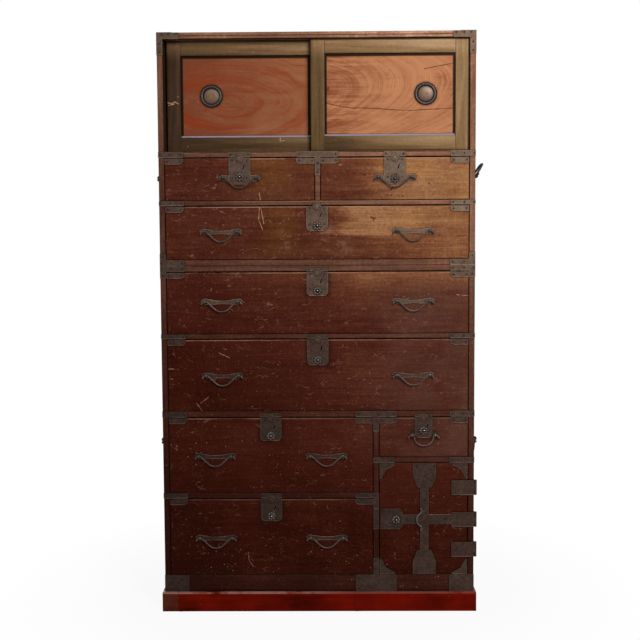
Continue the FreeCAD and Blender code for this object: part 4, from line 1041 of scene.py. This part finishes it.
def nail_tree():
    steps, points, radius, height, unevenness = new_tree(
        "nail_heads", [("Head Radius", 0.0023), ("Head Height", 0.0009), ("Unevenness", 0.16)])
    rim, corners, seed = radius * 0.55, 9, 7
    low = steps.out("GeometryNodeMeshCone", {
        "Vertices": corners, "Radius Top": rim, "Radius Bottom": radius, "Depth": height})
    cap = steps.out("GeometryNodeMeshCone", {
        "Vertices": corners, "Radius Top": 0.0, "Radius Bottom": rim, "Depth": height * 0.35})
    raised = steps.out("GeometryNodeTransform", {
        "Geometry": cap, "Translation": steps.point(0.0, 0.0, height)})
    head = steps.add("GeometryNodeJoinGeometry")
    for part in (low, raised):
        steps.join(head.inputs[0], part)
    least, most = 1.0 - unevenness, unevenness + 1.0
    size = steps.out("FunctionNodeRandomValue", {2: least, 3: most, "Seed": seed}, 1,
                     data_type="FLOAT")
    return set_on_points(steps, points, Value(steps, head.outputs[0]), nail_iron, size)


def grow(name, tree, points, body):
    """Runs a tree over (place, facing) points and keeps the result as a plain mesh."""
    seeds = bpy.data.meshes.new(name + "_points")
    seeds.from_pydata([place for place, facing in points], [], [])
    layer = seeds.attributes.new("facing", "FLOAT_VECTOR", "POINT")
    layer.data.foreach_set("vector", [c for place, facing in points for c in facing])
    holder = bpy.data.objects.new(name, seeds)
    bpy.context.collection.objects.link(holder)
    holder.modifiers.new("grow", "NODES").node_group = tree
    bpy.context.view_layer.update()
    grown = holder.evaluated_get(bpy.context.evaluated_depsgraph_get())
    grown_mesh = bpy.data.meshes.new_from_object(grown)
    holder.modifiers.clear()
    holder.data = grown_mesh
    grown_mesh.name = name
    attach(holder, body)


nails = nail_tree()

# %% [markdown]
# ### Where the nails go
# A smith nails a plate a few millimetres in from its ends. On the drawers the plates are
# alike, so their nails are worked out from the box of each plate. The irons of the cases
# are all different, and their nails are listed: heights and distances from the middle,
# in millimetres, as they would be marked on a drawing.

# %% Nail places
FRONT = (0, -1, 0)
plate_out, head_out = 0.00095, 0.00005
CASE_FACE, END_FACE, SAFE_FACE = front_plane - plate_out, half_width + plate_out, -0.21205
ARM_HEIGHTS = {"lower": (70, 102, 612, 850, 1055.5), "upper": (1073, 1252, 1397.5)}
ARM_REACH = (408, 442, 471)
FRONT_NAILS = {
    "lower": [(122, 70), (231, 70), (122, 102), (231, 102), (176.5, 130), (176.5, 158),
              (122, 612), (231, 612), (176.5, 590), (176.5, 566), (122, 360), (150, 360),
              (176.5, 360), (176.5, 328), (175, 469), (225, 469), (176.5, 262), (176.5, 310),
              (-471, 360), (-442, 360), (-408, 360), (471, 469), (-467, 1036), (467, 1036),
              (-26, 1052), (26, 1052), (-26, 850), (26, 850), (-171, 609), (-118, 609),
              (-171, 360), (-118, 360), (301, 607), (341, 607)],
    "upper": [(-467, 1092), (467, 1092), (-52, 1397), (57, 1397), (2.3, 1343), (2.3, 1370),
              (-258, 1397), (-205, 1397), (207, 1397), (260, 1397), (416, 1753), (440, 1753),
              (460, 1753), (-416, 1753), (-440, 1753), (-460, 1753), (-466.5, 1725),
              (-466.5, 1700), (466.5, 1725), (466.5, 1700)]}
WRAP_DEPTHS, POST_DEPTHS = (-203, -172), (-55, 65)
POST_LEVEL = {"lower": 506, "upper": 1340}
SAFE_NAILS = [(300, 450), (355, 450), (327, 420), (327, 385), (327, 345), (327, 225), (327, 185),
              (300, 122), (355, 122), (270, 285), (385, 285), (196, 313), (252, 313), (196, 260),
              (252, 260)]


def case_nails(part):
    """(place, facing) for the irons of one case, on its front and on its two ends."""
    arms = [(side * x, z) for z in ARM_HEIGHTS[part] for x in ARM_REACH for side in (-1, 1)]
    places = [((x / 1000, CASE_FACE, z / 1000), FRONT) for x, z in arms + FRONT_NAILS[part]]
    wraps = [(y, z) for z in ARM_HEIGHTS[part] for y in WRAP_DEPTHS]
    posts = [(y, POST_LEVEL[part] + rise) for y in POST_DEPTHS for rise in (-16, 16)]
    for side in (-1, 1):
        places += [((side * END_FACE, y / 1000, z / 1000), (side, 0, 0)) for y, z in wraps + posts]
    return places


def drawer_nails(node):
    """Four nails in each broad plate on the front and two in each strap, found by size."""
    places = []
    drawer_middle = sum(corner.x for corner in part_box(node)) / 2
    for shape in solids_of(node):
        low, high = span(shape)
        shape.free()
        size, middle = high - low, (low + high) / 2
        on_front = size.y <= 0.0135 and low.y <= front_plane
        spots = []
        if on_front and 0.05 < size.x < 0.07 and 0.05 < size.z < 0.085:
            reach = size.x / 2 - 0.011
            levels = (high.z - 0.006, low.z + 0.02)
            spots = [(middle.x + side * reach, z) for side in (-1, 1) for z in levels]
        elif on_front and 0.05 < size.x < 0.058 and size.z < 0.02:
            outward = 1 if middle.x > drawer_middle else -1
            spots = [(middle.x + outward * (size.x / 2 - 0.007), middle.z),
                     (middle.x - outward * (size.x / 2 - 0.009), middle.z)]
        places += [((x, low.y - head_out, z), FRONT) for x, z in spots]
    return places


nail_count = 0
for body, node in iron_nodes:
    if body == "case":
        places = case_nails(node.split("_")[0])
    elif body == "safe_door":
        places = [((x / 1000, SAFE_FACE, z / 1000), FRONT) for x, z in SAFE_NAILS]
    else:
        places = drawer_nails(node)
    nail_count += len(places)
    grow(node.removesuffix("_irons") + "_nails", nails, places, body)
print("nails", nail_count)

# %% [markdown]
# ### Petals round the buttons
# Each lock opens with a push button in the middle of a small flower of iron petals.
# One petal is a flattened ball. Eight stand on a circle, turned outwards, and the circle
# is an instance on each button's place.

# %% Petals
petal_plane = -0.2128


def petal_tree():
    steps, points, count, ring_radius, *petal_size = new_tree("petals", [
        ("Petals", 8), ("Ring Radius", 0.0092), ("Petal Length", 0.0040),
        ("Petal Width", 0.0029), ("Petal Height", 0.0016)])
    ball = steps.out("GeometryNodeMeshUVSphere", {"Segments": 10, "Rings": 6, "Radius": 1.0})
    petal = steps.out("GeometryNodeTransform", {
        "Geometry": ball, "Scale": steps.point(*petal_size)})
    circle = steps.out("GeometryNodeMeshCircle", {"Vertices": count, "Radius": ring_radius})
    outward = steps.out("FunctionNodeAlignRotationToVector",
                        {"Vector": steps.out("GeometryNodeInputPosition")}, axis="X")
    flower = steps.out("GeometryNodeInstanceOnPoints", {
        "Points": circle, "Instance": petal, "Rotation": outward})
    smooth = steps.out("GeometryNodeSetShadeSmooth",
                       [steps.out("GeometryNodeRealizeInstances", [flower])])
    return set_on_points(steps, points, smooth, petal_iron)


petals = petal_tree()
for body, middle in button_at.items():
    grow(body + "_petals", petals, [((middle.x, petal_plane, middle.z), FRONT)], body)
print("flowers of petals", len(button_at))

# %% [markdown]
# ### Turned rings on the bosses
# Each lock plate hangs from a round boss with a raised ring turned on it. The ring is a
# thin tube on a circle, made once in a tree and set on the middle of every boss.

# %% Rings on the bosses
def ring_tree():
    steps, points, ring_radius, tube_radius = new_tree(
        "boss_rings", [("Ring Radius", 0.0072), ("Tube Radius", 0.0009)])
    circle, section = (
        steps.out("GeometryNodeCurvePrimitiveCircle", {"Resolution": corners, "Radius": radius})
        for corners, radius in ((24, ring_radius), (6, tube_radius)))
    tube = steps.out("GeometryNodeCurveToMesh", {"Curve": circle, "Profile Curve": section})
    smooth = steps.out("GeometryNodeSetShadeSmooth", [tube])
    return set_on_points(steps, points, smooth, boss_iron)


boss_rings = ring_tree()
for body in sorted({body for body, place in bosses}):
    places = [(place, FRONT) for owner, place in bosses if owner == body]
    grow(body + "_boss_rings", boss_rings, places, body)
print("boss rings", len(bosses))

# %% Finishes for the nodes that stay
STAYING = {"bail": handle_iron, "ring": ring_iron, "button": button_black, "pull": pull_bronze}
for name, node in nodes.items():
    for word, finish in STAYING.items():
        if word in name and not node.hide_render:
            node.data.materials.clear()
            node.data.materials.append(finish)
print("kept nodes", sum(not n.hide_render for n in nodes.values()))

# %% [markdown]
# ## Floor, background and light
# A pale floor carries the chest's shadow. Behind it there is nothing but white, and
# white is given to what the camera and the reflections see, while the light that falls
# on the wood stays gentler. One large soft lamp stands high on the right, as a window
# did for the real chest.

# %% Floor
def floor_material():
    """Pale and matt to the light, but nearly white to the camera, and most so far away."""
    recipe = Recipe("floor_pale", gloss=0.0)
    pale = recipe.mix(recipe.noise(recipe.place, 1.5), (212, 212, 212), (220, 220, 220))
    recipe.finish(pale, 0.9)
    seen = recipe.out("ShaderNodeLightPath", output="Is Camera Ray")
    away = recipe.measure("LENGTH", recipe.place)
    glow = recipe.out("ShaderNodeEmission", [(1, 1, 1, 1), 1.0])
    matt = Value(recipe, recipe.shader.outputs[0])
    both = recipe.out("ShaderNodeMixShader", [
        seen * (away.between(0.45, 1.2) * 0.08 + 0.92), matt, glow])
    recipe.join(recipe.tree.nodes["Material Output"].inputs["Surface"], both)
    return recipe.material


reach = 30.0
corners = [(-reach, -reach, 0), (reach, -reach, 0), (reach, reach, 0), (-reach, reach, 0)]
floor_mesh = bpy.data.meshes.new("floor")
floor_mesh.from_pydata(corners, [], [(0, 1, 2, 3)])
floor_mesh.materials.append(floor_material())
floor = bpy.data.objects.new("floor", floor_mesh)
bpy.context.collection.objects.link(floor)

# %% World and lamps
gentle, white = 0.3, 1.0
world = bpy.data.worlds.new("studio")
world.use_nodes = True
bpy.context.scene.world = world
world.node_tree.nodes.clear()
sky = Tree(world.node_tree)
rays = sky.add("ShaderNodeLightPath").outputs
to_camera, mirrored, through = (Value(sky, rays[key]) for key in
                                ("Is Camera Ray", "Is Glossy Ray", "Is Transmission Ray"))
strength = (to_camera | (mirrored | through)) * (white - gentle) + gentle
sky.add("ShaderNodeOutputWorld", [sky.out("ShaderNodeBackground", [(1, 1, 1, 1), strength])])


def lamp(name, place, aim, size, power):
    light = bpy.data.lights.new(name, "AREA")
    light.shape, light.size, light.energy = "DISK", size, power
    holder = bpy.data.objects.new(name, light)
    holder.location = place
    holder.rotation_euler = (Vector(aim) - Vector(place)).to_track_quat("-Z", "Y").to_euler()
    bpy.context.collection.objects.link(holder)


lamp("window", (1.3, -3.0, 2.5), (0.1, -0.2, 1.0), 1.2, 93)
lamp("fill", (-2.4, -2.2, 1.6), (0, -0.2, 0.8), 2.2, 16)
bpy.context.scene.view_settings.view_transform = "Standard"
print("light set")
